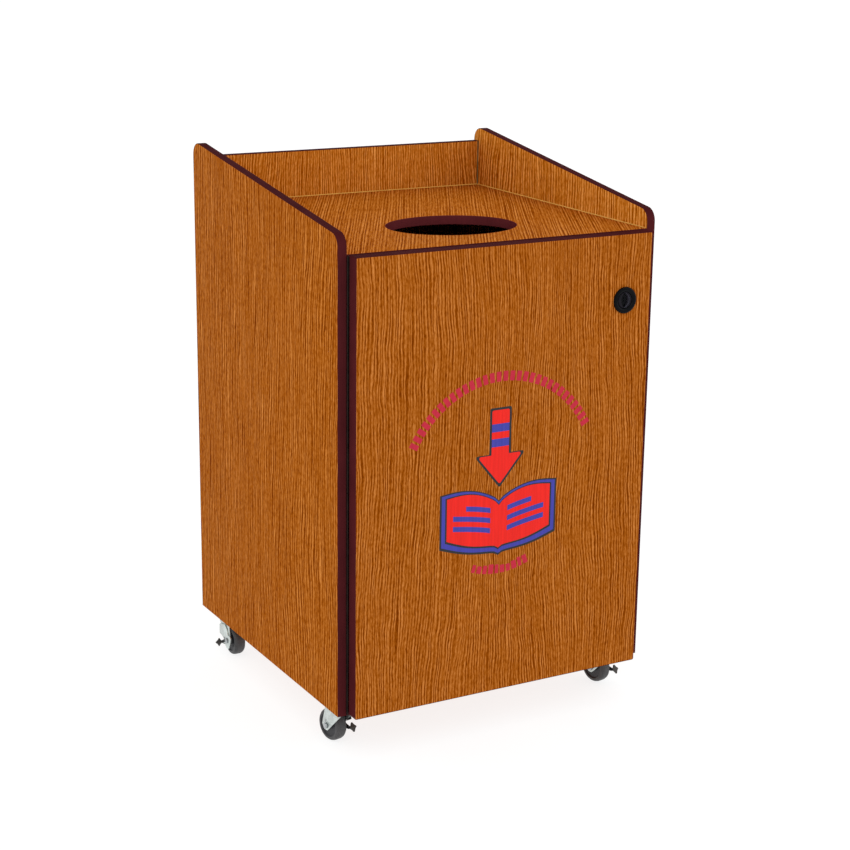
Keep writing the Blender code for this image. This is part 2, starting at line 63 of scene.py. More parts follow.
# the same sizes as the part's source
WIDTH, DEPTH, BOARD, BAND, GAP = 610.0, 587.5, 16.0, 1.0, 0.3
TOP_Z, SLOPE_Z0, SLOPE, CORNER_R = 787.2, 818.4, 0.1409, 23.0
BACK_TOP = 872.7
HOLE_Y, HOLE_RX, HOLE_RY = 172.9, 118.0, 99.5
DOOR_T, DOOR_GAP = 23.5, 4.0
DOOR_X0, DOOR_X1, DOOR_Z0, DOOR_Z1 = -286.6, 281.0, 1.8, 786.4
HINGE_X, HINGE_Y, HINGE_R, HINGE_PIN_R = -288.3, -2.4, 1.9, 0.8
LOCK_X, LOCK_Z, LOCK_R, LOCK_BODY_R = 228.4, 672.3, 23.0, 16.0
CAM_L, BEZEL_OUT, BODY_BACK = 55.0, 3.5, 5.0
INNER = WIDTH / 2 - BOARD
XIN = INNER - GAP
BACK_Y = DEPTH - BOARD
DOOR_FRONT = -(DOOR_GAP + DOOR_T)
# name, swivel axis, trail side, swivel angle, brake lever's angle
CASTERS = (("front_left", -274.0, 53.0, 1, 10.0, 0.0),
           ("front_right", 274.0, 53.0, 1, 10.0, 0.0),
           ("rear_left", -274.0, 524.5, -1, 0.0, 18.0),
           ("rear_right", 274.0, 524.5, -1, 0.0, 0.0))
WHEEL_R, WHEEL_W, TRAIL, FORK_IN, FORK_OUT, AXLE_Z = 28.5, 22.0, 21.0, 12.4, 14.4, -46.5


# ------------------------------------------------------------ material tools
def lin(r, g, b):
    def f(c):
        c /= 255.0
        return c / 12.92 if c <= 0.04045 else ((c + 0.055) / 1.055) ** 2.4
    return (f(r), f(g), f(b), 1.0)


def put(t, n, ins):
    for k, v in (ins or {}).items():
        if isinstance(v, bpy.types.NodeSocket):
            t.links.new(v, n.inputs[k])
        else:
            n.inputs[k].default_value = v
    return n


def nd(t, kind, ins=None, **props):
    n = t.nodes.new(kind)
    for k, v in props.items():
        setattr(n, k, v)
    return put(t, n, ins)


def calc(t, op, a, b=0.0, c=0.0, clamp=False):
    n = nd(t, "ShaderNodeMath", {0: a, 1: b, 2: c}, operation=op)
    n.use_clamp = clamp
    return n.outputs[0]


def noise(t, vec, scale=1.0, detail=2.0, rough=0.5, dist=0.0):
    n = nd(t, "ShaderNodeTexNoise",
           {"Vector": vec, "Scale": scale, "Detail": detail,
            "Roughness": rough, "Distortion": dist})
    return n.outputs["Fac"]


def combine(t, x, y, z):
    return nd(t, "ShaderNodeCombineXYZ", {0: x, 1: y, 2: z}).outputs[0]


def ramp(t, fac, stops):
    n = nd(t, "ShaderNodeValToRGB", {"Fac": fac})
    e = n.color_ramp.elements
    while len(e) < len(stops):
        e.new(0.5)
    for i, (p, col) in enumerate(stops):
        e[i].position = p
        e[i].color = col
    return n.outputs["Color"]


def spread(t, v, lo, hi, a=0.0, b=1.0):
    n = nd(t, "ShaderNodeMapRange",
           {"Value": v, "From Min": lo, "From Max": hi, "To Min": a,
            "To Max": b})
    return n.outputs["Result"]


def start(name, shown=(0.5, 0.5, 0.5, 1.0)):
    m = bpy.data.materials.new(name)
    m.use_nodes = True
    m.diffuse_color = shown
    t = m.node_tree
    return m, t, t.nodes["Principled BSDF"]


def obj_xyz(t):
    co = nd(t, "ShaderNodeTexCoord").outputs["Object"]
    s = nd(t, "ShaderNodeSeparateXYZ", {0: co})
    return co, s.outputs[0], s.outputs[1], s.outputs[2]


def bump(t, b, height, strength, dist):
    n = nd(t, "ShaderNodeBump", {"Height": height, "Strength": strength,
                                 "Distance": dist})
    t.links.new(n.outputs["Normal"], b.inputs["Normal"])


# ----------------------------------------------------------------- materials
OAK_DARK = lin(112, 46, 0)
OAK_LOW = lin(143, 70, 5)
OAK_MID = lin(166, 91, 23)
OAK_LIGHT = lin(206, 131, 62)


def oak(name, across, turn=0.0, seed=0.0, fine_k=1.0, gain=1.0, run=1.0,
        tone=(1.0, 1.0, 1.0), low=1.0, warp=1.0, tone_from=None):
    """Printed oak laminate.  across is the axis that the grain lines stack along: 'x'
    or 'y' on upright boards, 't' on level ones, where turn is the angle from the depth
    to the grain.  tone tints the sheet; with tone_from it lightens only the part of it
    above that height, as painted light for faces in the shaded recess above the top
    board."""
    m, t, b = start(name, OAK_MID)
    co, x, y, z = obj_xyz(t)
    if across == "x":
        u, v, w = x, z, y
    elif across == "y":
        u, v, w = y, z, x
    else:
        c, s = math.cos(math.radians(turn)), math.sin(math.radians(turn))
        u = calc(t, 'SUBTRACT', calc(t, 'MULTIPLY', x, c),
                 calc(t, 'MULTIPLY', y, s))
        v = calc(t, 'ADD', calc(t, 'MULTIPLY', x, s),
                 calc(t, 'MULTIPLY', y, c))
        w = z
    del w

    def field(su, sv, k, detail=2.0, rough=0.5, src=None):
        vec = combine(t, calc(t, 'MULTIPLY', src if src is not None else u, su),
                      calc(t, 'MULTIPLY', v, sv * run), seed + k)
        return noise(t, vec, 1.0, detail, rough)

    # the lines lean and wander together, then each wavers a little
    uw = calc(t, 'MULTIPLY_ADD', field(3.0, 1.7, 3.1, 1.0), 0.085 * warp, u)
    uw = calc(t, 'MULTIPLY_ADD', field(26.0, 19.0, 7.7, 0.0), 0.0060 * warp, uw)
    uw = calc(t, 'MULTIPLY_ADD', field(90.0, 60.0, 1.9, 0.0), 0.0016 * warp, uw)
    broad = field(7.0, 1.4, 11.3, 1.0)
    loose = field(fine_k * 170.0, 8.0, 6.6, 0.0, 0.5, uw)
    phase = calc(t, 'MULTIPLY_ADD', uw, 2 * math.pi * 196.0 * fine_k,
                 calc(t, 'MULTIPLY', loose, 7.0))
    line = calc(t, 'SINE', phase)
    force = spread(t, field(fine_k * 90.0, 14.0, 8.8, 1.0), 0.3, 0.7, 0.35, 1.45)
    line = calc(t, 'MULTIPLY', line, force)
    runs = field(fine_k * 120.0, 5.0, 5.5, 1.0, 0.5, uw)
    fine = field(fine_k * 560.0, 135.0, 2.6, 1.0, 0.6, uw)
    pores = field(fine_k * 620.0, 85.0, 14.8, 0.0, 0.5, uw)
    cut = spread(t, pores, 0.60, 0.74)
    f = calc(t, 'MULTIPLY_ADD', calc(t, 'SUBTRACT', broad, 0.5), 0.08 * low,
             0.50)
    f = calc(t, 'MULTIPLY_ADD', line, 0.225 * gain, f)
    f = calc(t, 'MULTIPLY_ADD', calc(t, 'SUBTRACT', runs, 0.5), 0.18 * low, f)
    f = calc(t, 'MULTIPLY_ADD', calc(t, 'SUBTRACT', fine, 0.5), 0.60 * gain, f)
    f = calc(t, 'MULTIPLY_ADD', cut, -0.17, f, clamp=True)
    shades = [tuple(min(1.0, c * k) for c, k in zip(col_[:3], tone)) + (1.0,)
              for col_ in (OAK_DARK, OAK_LOW, OAK_MID, OAK_LIGHT)]
    col = ramp(t, f, list(zip((0.10, 0.34, 0.52, 0.90), shades)))
    if tone_from is not None:
        under = ramp(t, f, list(zip((0.10, 0.34, 0.52, 0.90),
                                    (OAK_DARK, OAK_LOW, OAK_MID, OAK_LIGHT))))
        mx = nd(t, "ShaderNodeMix", data_type='RGBA')
        t.links.new(calc(t, 'GREATER_THAN', z, tone_from), mx.inputs[0])
        t.links.new(under, mx.inputs[6])
        t.links.new(col, mx.inputs[7])
        col = mx.outputs[2]
    t.links.new(col, b.inputs["Base Color"])
    t.links.new(spread(t, f, 0.2, 0.8, 0.52, 0.44), b.inputs["Roughness"])
    b.inputs["Specular IOR Level"].default_value = 0.0015
    h = calc(t, 'SUBTRACT', calc(t, 'MULTIPLY', fine, 0.6), cut)
    bump(t, b, h, 0.25, 0.00006)
    return m


def pvc(name, rgb, shade=1.0, upper=0.0):
    """Extruded edge moulding: faint lines along its run and a satin skin.
    upper is how much darker the colour is set on the faces that look up: painted shade."""
    m, t, b = start(name, rgb)
    co, x, y, z = obj_xyz(t)
    drag = noise(t, combine(t, calc(t, 'MULTIPLY', x, 900.0),
                            calc(t, 'MULTIPLY', y, 30.0),
                            calc(t, 'MULTIPLY', z, 30.0)), 1.0, 2.0, 0.5)
    cloud = noise(t, co, 18.0, 3.0, 0.55)
    skin = noise(t, co, 1400.0, 2.0, 0.5)
    f = calc(t, 'MULTIPLY_ADD', calc(t, 'SUBTRACT', cloud, 0.5), 0.8,
             calc(t, 'MULTIPLY_ADD', calc(t, 'SUBTRACT', drag, 0.5), 0.5, 0.5),
             clamp=True)
    lo = tuple(c * 0.80 * shade for c in rgb[:3]) + (1.0,)
    hi = tuple(min(1.0, c * 1.22 * shade) for c in rgb[:3]) + (1.0,)
    col = ramp(t, f, [(0.2, lo), (0.8, hi)])
    # painted shade: the faces that look up are darkened
    if upper:
        nz = nd(t, "ShaderNodeSeparateXYZ",
                {0: nd(t, "ShaderNodeNewGeometry").outputs["Normal"]}).outputs[2]
        k = spread(t, nz, 0.1, 1.0, 1.0, 1.0 - upper)
        mx = nd(t, "ShaderNodeMix", data_type='RGBA', blend_type='MULTIPLY')
        mx.inputs[0].default_value = 1.0
        t.links.new(col, mx.inputs[6])
        t.links.new(combine(t, k, k, k), mx.inputs[7])
        col = mx.outputs[2]
    t.links.new(col, b.inputs["Base Color"])
    t.links.new(spread(t, f, 0.2, 0.8, 0.50, 0.40), b.inputs["Roughness"])
    b.inputs["Specular IOR Level"].default_value = 0.0015
    bump(t, b, skin, 0.12, 0.00005)
    return m


def zinc(name, tint=(0.62, 0.64, 0.64), rough=0.36):
    m, t, b = start(name, tint + (1.0,))
    co, x, y, z = obj_xyz(t)
    cloud = noise(t, co, 60.0, 3.0, 0.6)
    grit = noise(t, co, 900.0, 2.0, 0.6)
    lo = tuple(c * 0.74 for c in tint) + (1.0,)
    hi = (min(1, tint[0] * 1.18), min(1, tint[1] * 1.2),
          min(1, tint[2] * 1.2), 1.0)
    f = calc(t, 'MULTIPLY_ADD', calc(t, 'SUBTRACT', grit, 0.5), 0.35, cloud,
             clamp=True)
    t.links.new(ramp(t, f, [(0.32, lo), (0.68, hi)]), b.inputs["Base Color"])
    b.inputs["Metallic"].default_value = 1.0
    t.links.new(spread(t, cloud, 0.3, 0.7, rough - 0.07, rough + 0.10),
                b.inputs["Roughness"])
    bump(t, b, grit, 0.18, 0.00006)
    return m


def moulded(name, lo, hi, rough=0.45, grain=700.0, depth=0.00012, spec=0.5,
            strength=0.25, scuffs=0.0):
    """Moulded plastic, rubber or paint with a fine skin and uneven sheen."""
    m, t, b = start(name, hi)
    co, x, y, z = obj_xyz(t)
    cloud = noise(t, co, 26.0, 4.0, 0.6)
    skin = noise(t, co, grain, 2.5, 0.6)
    f = calc(t, 'MULTIPLY_ADD', calc(t, 'SUBTRACT', skin, 0.5), 0.5, cloud,
             clamp=True)
    if scuffs:
        s = noise(t, combine(t, calc(t, 'MULTIPLY', x, 40.0),
                             calc(t, 'MULTIPLY', y, 40.0),
                             calc(t, 'MULTIPLY', z, 420.0)), 1.0, 3.0, 0.7)
        f = calc(t, 'MULTIPLY_ADD', spread(t, s, 0.60, 0.74), scuffs, f,
                 clamp=True)
    t.links.new(ramp(t, f, [(0.30, lo), (0.72, hi)]), b.inputs["Base Color"])
    t.links.new(spread(t, f, 0.3, 0.7, rough - 0.05, rough + 0.07),
                b.inputs["Roughness"])
    b.inputs["Specular IOR Level"].default_value = spec
    bump(t, b, skin, strength, depth)
    return m


def plain_wood(name, axis="y"):
    """Planed whitewood batten, grain along its length."""
    m, t, b = start(name, lin(214, 182, 132))
    co, x, y, z = obj_xyz(t)
    ring = noise(t, combine(t, calc(t, 'MULTIPLY', x, 150.0),
                            calc(t, 'MULTIPLY', y, 5.0),
                            calc(t, 'MULTIPLY', z, 150.0)), 1.0, 3.0, 0.55, 0.6)
    hair = noise(t, combine(t, calc(t, 'MULTIPLY', x, 900.0),
                            calc(t, 'MULTIPLY', y, 24.0),
                            calc(t, 'MULTIPLY', z, 900.0)), 1.0, 2.0, 0.6)
    f = calc(t, 'MULTIPLY_ADD', calc(t, 'SUBTRACT', hair, 0.5), 0.6, ring,
             clamp=True)
    t.links.new(ramp(t, f, [(0.28, lin(168, 126, 76)), (0.5, lin(209, 174, 122)),
                            (0.75, lin(226, 199, 152))]),
                b.inputs["Base Color"])
    b.inputs["Roughness"].default_value = 0.68
    bump(t, b, hair, 0.3, 0.0001)
    return m


def board_core(name):
    """Raw edge of the laminated board: pressed chips."""
    m, t, b = start(name, lin(172, 138, 98))
    co, x, y, z = obj_xyz(t)
    v = nd(t, "ShaderNodeTexVoronoi", {"Vector": co, "Scale": 520.0})
    chips = v.outputs["Distance"]
    dust = noise(t, co, 1500.0, 3.0, 0.6)
    f = calc(t, 'MULTIPLY_ADD', dust, 0.6, calc(t, 'MULTIPLY', chips, 0.55),
             clamp=True)
    t.links.new(ramp(t, f, [(0.22, lin(112, 78, 46)), (0.5, lin(170, 134, 92)),
                            (0.8, lin(205, 175, 132))]),
                b.inputs["Base Color"])
    b.inputs["Roughness"].default_value = 0.85
    bump(t, b, f, 0.5, 0.0003)
    return m


def film(name, rgb, amount=0.10):
    """Cut vinyl film: satin, with the board's texture faintly through it."""
    m, t, b = start(name, rgb)
    co, x, y, z = obj_xyz(t)
    tone = noise(t, combine(t, calc(t, 'MULTIPLY', x, 260.0), 0.3,
                            calc(t, 'MULTIPLY', z, 12.0)), 1.0, 3.0, 0.6)
    skin = noise(t, co, 1200.0, 2.0, 0.5)
    lo = tuple(c * (1 - amount) for c in rgb[:3]) + (1.0,)
    hi = tuple(min(1.0, c * (1 + amount)) for c in rgb[:3]) + (1.0,)
    t.links.new(ramp(t, tone, [(0.3, lo), (0.7, hi)]), b.inputs["Base Color"])
    t.links.new(spread(t, tone, 0.3, 0.7, 0.42, 0.50), b.inputs["Roughness"])
    b.inputs["Specular IOR Level"].default_value = 0.08
    bump(t, b, skin, 0.1, 0.00004)
    return m


M_SIDE_L = oak("oak_left", "y", seed=2.0, fine_k=0.68, tone=(1.0, 1.0, 0.96),
               gain=1.08)
M_SIDE_R = oak("oak_right", "y", seed=37.0, fine_k=0.68)
M_DOOR = oak("oak_door", "x", seed=11.0, tone=(0.95, 0.95, 1.03), gain=1.08)
# the back's inner face is lightened above the top board: painted light in place of the
# light the shaded recess lacks
M_BACK = oak("oak_back", "x", seed=58.0, tone=(1.34, 1.52, 1.7), low=0.6,
             tone_from=P(0, 0, TOP_Z - 8).z)
M_BACK_OUT = oak("oak_back_outer", "x", seed=29.0)
# the sides' inner faces are lightened above the top board: painted light in place of
# the light the shaded recess lacks
M_SIDE_IN = oak("oak_sides_within", "y", seed=83.0, fine_k=0.62,
                tone=(1.48, 1.80, 2.1), tone_from=P(0, 0, TOP_Z - 8).z)
M_TOP = oak("oak_top", "t", turn=29.0, seed=23.0, run=0.30, low=0.5, warp=0.34,
            tone=(1.02, 1.04, 1.06))
M_BOTTOM = oak("oak_bottom", "t", turn=0.0, seed=71.0)
M_CORE = board_core("board_core")
# the mouldings' faces that look up are set 34% darker as painted shade
M_BAND = pvc("burgundy_moulding", lin(76, 28, 31), 1.0, 0.34)
# the drop hole's ring is set 1.55 times lighter: painted light for a face that looks
# into the hole's shade
M_RING_LIT = pvc("burgundy_ring_painted_light", lin(79, 30, 33), 1.55)
M_ZINC = zinc("zinc_plate", (0.59, 0.635, 0.615))
M_ZINC_DARK = zinc("zinc_bolts", (0.45, 0.47, 0.48), 0.30)
# the hinge's steel is set near black: painted shade of the narrow gap between side and
# door where it sits
M_HINGE_SHADED = zinc("hinge_steel_painted_shade", (0.024, 0.018, 0.016), 0.50)
M_LOCK = moulded("lock_black", lin(5, 6, 8), lin(13, 14, 18), 0.24, 900.0,
                 0.00004, 0.06, 0.15)
M_LOCK_IN = moulded("lock_rotor_black", lin(17, 15, 20), lin(33, 29, 37), 0.28,
                    900.0, 0.00004, 0.06, 0.15)
# lighter grey for the rotor's recess walls and bevelled edges: a painted highlight
M_LOCK_EDGE_HIGHLIGHT = moulded("lock_edges_painted_highlight", lin(56, 56, 64), lin(84, 84, 96), 0.3,
                     900.0, 0.00004, 0.1, 0.15)
M_WHEEL = moulded("wheel_grey", lin(42, 42, 43), lin(78, 77, 78), 0.48, 420.0,
                  0.00012, 0.35, 0.2, 0.25)
M_HUB = moulded("hub_grey", lin(30, 30, 33), lin(54, 54, 58), 0.45, 600.0,
                0.0001, 0.35, 0.2)
# black for the brake lever's wheel-side face and front edges; on the wheel-side face it
# is painted shade
M_LEVER_BLACK_SHADE = moulded("lever_black_painted_shade", lin(20, 20, 21), lin(42, 42, 44), 0.42, 700.0,
                  0.0001, 0.30, 0.25)
M_PAD = moulded("pad_grey", lin(40, 38, 36), lin(82, 77, 71), 0.40, 700.0,
                0.0001, 0.30, 0.25)
M_BIN = moulded("bin_black", lin(18, 18, 20), lin(40, 40, 43), 0.46, 340.0,
                0.0003, 0.45, 0.35, 0.35)
M_CLEAT = plain_wood("planed_wood")
# dark grey-olive for the back corners: painted shade of the corner gaps
M_CORNER_SHADE = moulded("corner_gap_painted_shade", lin(84, 74, 48), lin(104, 92, 60), 0.5,
                  500.0, 0.0001, 0.05, 0.2)
M_BEAD = moulded("joint_bead_tan", lin(192, 138, 58), lin(212, 160, 78), 0.5,
                 500.0, 0.0001, 0.1, 0.2)


# ---------------------------------------------------------------- mesh tools
def rounded(points, radii, seg=6):
    """Closed polygon with its corners rounded, in the order given."""
    out = []
    n = len(points)
    for i in range(n):
        p = Vector(points[i])
        r = radii[i]
        if r <= 0:
            out.append((p.x, p.y))
            continue
        a = (Vector(points[i - 1]) - p).normalized()
        b = (Vector(points[(i + 1) % n]) - p).normalized()
        half = a.angle(b) / 2
        t = r / math.tan(half)
        c = p + (a + b).normalized() * (r / math.sin(half))
        s = p + a * t - c
        e = p + b * t - c
        full = s.angle(e)
        sign = 1 if s.x * e.y - s.y * e.x > 0 else -1
        for k in range(seg + 1):
            th = sign * full * k / seg
            out.append((c.x + s.x * math.cos(th) - s.y * math.sin(th),
                        c.y + s.x * math.sin(th) + s.y * math.cos(th)))
    return out


def ellipse(rx, ry, n=96, cx=0.0, cy=0.0):
    return [(cx + rx * math.cos(2 * math.pi * i / n),
             cy + ry * math.sin(2 * math.pi * i / n)) for i in range(n)]


def hexagon(r, turn=0.0):
    return [(r * math.cos(math.radians(60 * i + turn)),
             r * math.sin(math.radians(60 * i + turn))) for i in range(6)]


def side_path(inset, seg=20):
    k = math.hypot(1.0, SLOPE)
    y0, y1 = inset, DEPTH - inset

    def top(y):
        return SLOPE_Z0 + SLOPE * y - inset * k

    r = CORNER_R - inset
    return rounded([(y0, 0.0), (y0, top(y0)), (y1, top(y1)), (y1, 0.0)],
                   [0, r, r, 0], seg)


FACES = {"side": Matrix(((0, 0, 1, 0), (1, 0, 0, 0), (0, 1, 0, 0), (0, 0, 0, 1))),
         "front": Matrix(((1, 0, 0, 0), (0, 0, -1, 0), (0, 1, 0, 0), (0, 0, 0, 1))),
         "top": Matrix.Identity(4)}


def shade(me, angle=32.0):
    me.polygons.foreach_set("use_smooth", [True] * len(me.polygons))
    me.update()
    me.set_sharp_from_angle(angle=math.radians(angle))


def tidy(me, angle=32.0, dist=1e-6):
    bm = bmesh.new()
    bm.from_mesh(me)
    bmesh.ops.remove_doubles(bm, verts=bm.verts, dist=dist)
    bmesh.ops.dissolve_degenerate(bm, edges=bm.edges, dist=1e-7)
    bmesh.ops.recalc_face_normals(bm, faces=bm.faces)
    bm.to_mesh(me)
    bm.free()
    shade(me, angle)


def made(name, me, mats):
    o = bpy.data.objects.new(name, me)
    me.materials.clear()
    for m in mats:
        me.materials.append(m)
    bpy.context.scene.collection.objects.link(o)
    return o


def from_data(name, verts, faces, mats, angle=32.0):
    me = bpy.data.meshes.new(name)
    me.from_pydata([tuple(v) for v in verts], [], faces)
    me.update()
    tidy(me, angle)
    return made(name, me, mats)


def plate(name, loops, thick, centre, face, mats, edge=0.3, seg=2, split=False):
    """A flat piece from closed outlines (mm), with rounded-over edges.  With
    split, its two broad faces take mats[0] and its edges mats[1]."""
    cu = bpy.data.curves.new(name + "_c", 'CURVE')
    cu.dimensions = '2D'
    cu.fill_mode = 'BOTH'
    cu.extrude = (thick / 2 - edge) * MM
    cu.bevel_depth = edge * MM
    cu.bevel_resolution = seg - 1
    cu.offset = -edge * MM
    for pts in loops:
        sp = cu.splines.new('POLY')
        sp.points.add(len(pts) - 1)
        for i, (a, b) in enumerate(pts):
            sp.points[i].co = (a * MM, b * MM, 0.0, 1.0)
        sp.use_cyclic_u = True
    tmp = bpy.data.objects.new(name + "_c", cu)
    bpy.context.scene.collection.objects.link(tmp)
    bpy.context.view_layer.update()
    dg = bpy.context.evaluated_depsgraph_get()
    me = bpy.data.meshes.new_from_object(tmp.evaluated_get(dg), depsgraph=dg)
    bpy.data.objects.remove(tmp, do_unlink=True)
    bpy.data.curves.remove(cu)
    me.name = name
    tidy(me, 32.0, 2e-6)
    if split:
        for p in me.polygons:
            p.material_index = 0 if abs(p.normal.z) > 0.9 else 1
    me.transform(Matrix.Translation(centre) @ FACES[face])
    me.update()
    keep = [p.material_index for p in me.polygons]
    o = made(name, me, mats)
    if split:
        me.polygons.foreach_set("material_index", keep)
    else:
        me.polygons.foreach_set("material_index", [0] * len(me.polygons))
    return o


def sweep(name, path, prof, face, centre, mats, closed=False, flip=1.0,
          angle=32.0):
    """Runs a closed profile of (offset across, depth below the surface) along
    a path of points (mm) in the face's plane.  flip is 1 where the surface
    faces the path's left side, -1 where it faces its right."""
    n = len(path)
    pts = [Vector(p) for p in path]
    norms = []
    for i in range(n):
        if closed:
            a, b = pts[i - 1], pts[(i + 1) % n]
            d0, d1 = (pts[i] - a), (b - pts[i])
        else:
            d0 = pts[i] - pts[i - 1] if i > 0 else pts[1] - pts[0]
            d1 = pts[i + 1] - pts[i] if i < n - 1 else d0
        d0, d1 = d0.normalized(), d1.normalized()
        n0 = Vector((-d0.y, d0.x))
        n1 = Vector((-d1.y, d1.x))
        m = (n0 + n1).normalized()
        norms.append(m * (flip / max(0.3, m.dot(n0))))
    verts, faces = [], []
    k = len(prof)
    mat = Matrix.Translation(centre) @ FACES[face]
    for p, nn in zip(pts, norms):
        for w, d in prof:
            q = p - nn * d
            verts.append(mat @ Vector((q.x * MM, q.y * MM, w * MM)))
    for i in range(n if closed else n - 1):
        j = (i + 1) % n
        for a in range(k):
            b = (a + 1) % k
            faces.append((i * k + a, i * k + b, j * k + b, j * k + a))
    if not closed:
        faces.append(tuple(range(k)))
        faces.append(tuple((n - 1) * k + a for a in range(k))[::-1])
    return from_data(name, verts, faces, mats, angle)


def lathe(name, prof, centre, axis, mats, steps=96, closed=False, angle=32.0,
          phase=0.0):
    """Turns a (radius, height) profile in millimetres about an axis."""
    ax = Vector(axis).normalized()
    u = ax.orthogonal().normalized()
    v = ax.cross(u)
    c = Vector(centre)
    verts, rings, faces = [], [], []
    for r, h in prof:
        if r < 1e-6:
            rings.append([len(verts)])
            verts.append(c + ax * (h * MM))
        else:
            rings.append(list(range(len(verts), len(verts) + steps)))
            for i in range(steps):
                th = 2 * math.pi * i / steps + phase
                verts.append(c + ax * (h * MM) + u * (r * MM * math.cos(th))
                             + v * (r * MM * math.sin(th)))
    m = len(prof)
    for i in range(m if closed else m - 1):
        a, b = rings[i], rings[(i + 1) % m]
        for s in range(steps):
            s2 = (s + 1) % steps
            if len(a) == 1 and len(b) == 1:
                continue
            if len(a) == 1:
                faces.append((a[0], b[s], b[s2]))
            elif len(b) == 1:
                faces.append((a[s], a[s2], b[0]))
            else:
                faces.append((a[s], a[s2], b[s2], b[s]))
    return from_data(name, verts, faces, mats, angle)


def soft(prof, r, seg=3):
    """Rounds the corners of a profile; r is one radius or one per corner."""
    rs = r if isinstance(r, (list, tuple)) else [r] * len(prof)
    return rounded(prof, rs, seg)


def soft_open(prof, r, seg=3):
    """Rounds the inner corners of an open profile."""
    rs = r if isinstance(r, (list, tuple)) else [r] * len(prof)
    out = [prof[0]]
    for i in range(1, len(prof) - 1):
        if rs[i] <= 0:
            out.append(prof[i])
            continue
        p, a, b = Vector(prof[i]), Vector(prof[i - 1]), Vector(prof[i + 1])
        lim = 0.45 * min((a - p).length, (b - p).length)
        da, db = (a - p).normalized(), (b - p).normalized()
        half = da.angle(db) / 2
        if half > math.radians(88) or half < math.radians(2):
            out.append(prof[i])
            continue
        t = min(lim, rs[i] / math.tan(half))
        rr = t * math.tan(half)
        c = p + (da + db).normalized() * (rr / math.sin(half))
        s, e = p + da * t - c, p + db * t - c
        full = s.angle(e)
        sign = 1 if s.x * e.y - s.y * e.x > 0 else -1
        for k in range(seg + 1):
            th = sign * full * k / seg
            out.append((c.x + s.x * math.cos(th) - s.y * math.sin(th),
                        c.y + s.x * math.sin(th) + s.y * math.cos(th)))
    out.append(prof[-1])
    return out


def block(name, x, y, z, mats, edge=0.4):
    """A small block with bevelled edges, limits in cabinet millimetres."""
    bm = bmesh.new()
    bmesh.ops.create_cube(bm, size=1.0)
    lo, hi = P(x[0], y[0], z[0]), P(x[1], y[1], z[1])
    for v in bm.verts:
        v.co = Vector(((lo[i] + hi[i]) / 2 + v.co[i] * (hi[i] - lo[i])
                       for i in range(3)))
    if edge:
        bmesh.ops.bevel(bm, geom=bm.edges[:], offset=edge * MM, segments=2,
                        profile=0.5, affect='EDGES')
    me = bpy.data.meshes.new(name)
    bm.to_mesh(me)
    bm.free()
    tidy(me)
    return made(name, me, mats)


def apply_all(o, angle=32.0):
    """Applies the piece's modifiers to its mesh."""
    bpy.context.view_layer.update()
    dg = bpy.context.evaluated_depsgraph_get()
    me = bpy.data.meshes.new_from_object(o.evaluated_get(dg), depsgraph=dg)
    o.modifiers.clear()
    old = o.data
    o.data = me
    if old.users == 0:
        bpy.data.meshes.remove(old)
    me.name = o.name
    shade(me, angle)
    return o


def boolean(o, other, op, keep_other=False):
    m = o.modifiers.new("b", 'BOOLEAN')
    m.operation = op
    m.solver = 'EXACT'
    m.object = other
    apply_all(o)
    if not keep_other:
        bpy.data.objects.remove(other, do_unlink=True)
    tidy(o.data, 32.0, 1e-6)
    return o


def bevel(o, width, seg=2, angle=35.0, mat=-1):
    m = o.modifiers.new("bevel", 'BEVEL')
    m.material = mat
    m.width = width * MM
    m.segments = seg
    m.limit_method = 'ANGLE'
    m.angle_limit = math.radians(angle)
    m.use_clamp_overlap = True
    m.harden_normals = False
    return apply_all(o, 40.0)


def join(name, objs):
    """Several meshes as one piece (materials kept)."""
    bm = bmesh.new()
    mats = []
    for o in objs:
        tmp = o.data.copy()
        idx = []
        for m in o.data.materials:
            if m not in mats:
                mats.append(m)
            idx.append(mats.index(m))
        src = [idx[p.material_index] if idx else 0 for p in o.data.polygons]
        tmp.polygons.foreach_set("material_index", src)
        tmp.transform(o.matrix_world)
        bm.from_mesh(tmp)
        bpy.data.meshes.remove(tmp)
    me = bpy.data.meshes.new(name)
    bm.to_mesh(me)
    bm.free()
    for o in objs:
        bpy.data.objects.remove(o, do_unlink=True)
    keep = [p.material_index for p in me.polygons]
    n = made(name, me, mats)
    me.polygons.foreach_set("material_index", keep)
    shade(me)
    return n


def done(o, body, slot, *nodes):
    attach(o, body)
    if nodes:
        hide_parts(*nodes)
    return o


def screw_head(name, at, axis, r=3.6, h=1.5, mats=None):
    """A countersunk or pan head with a cross recess; axis points outwards."""
    ax = Vector(axis).normalized()
    dome = lathe(name, [(0, h), (r * 0.45, h * 0.96), (r * 0.8, h * 0.70),
                        (r, h * 0.18), (r, 0), (0, 0)], at, ax,
                 mats or [M_ZINC_DARK], 28)
    u = ax.orthogonal().normalized()
    v = ax.cross(u)
    for d, e in ((u, v), (v, u)):
        bm = bmesh.new()
        bmesh.ops.create_cube(bm, size=1.0)
        for q in bm.verts:
            c = q.co.copy()
            q.co = (Vector(at) + ax * ((h - 0.15) * MM + c.z * 1.5 * MM)
                    + d * (c.x * 2 * r * 0.52 * MM) + e * (c.y * r * 0.26 * MM))
        me = bpy.data.meshes.new("cross")
        bmesh.ops.recalc_face_normals(bm, faces=bm.faces)
        bm.to_mesh(me)
        bm.free()
        boolean(dome, made("cross", me, []), 'DIFFERENCE')
    return dome


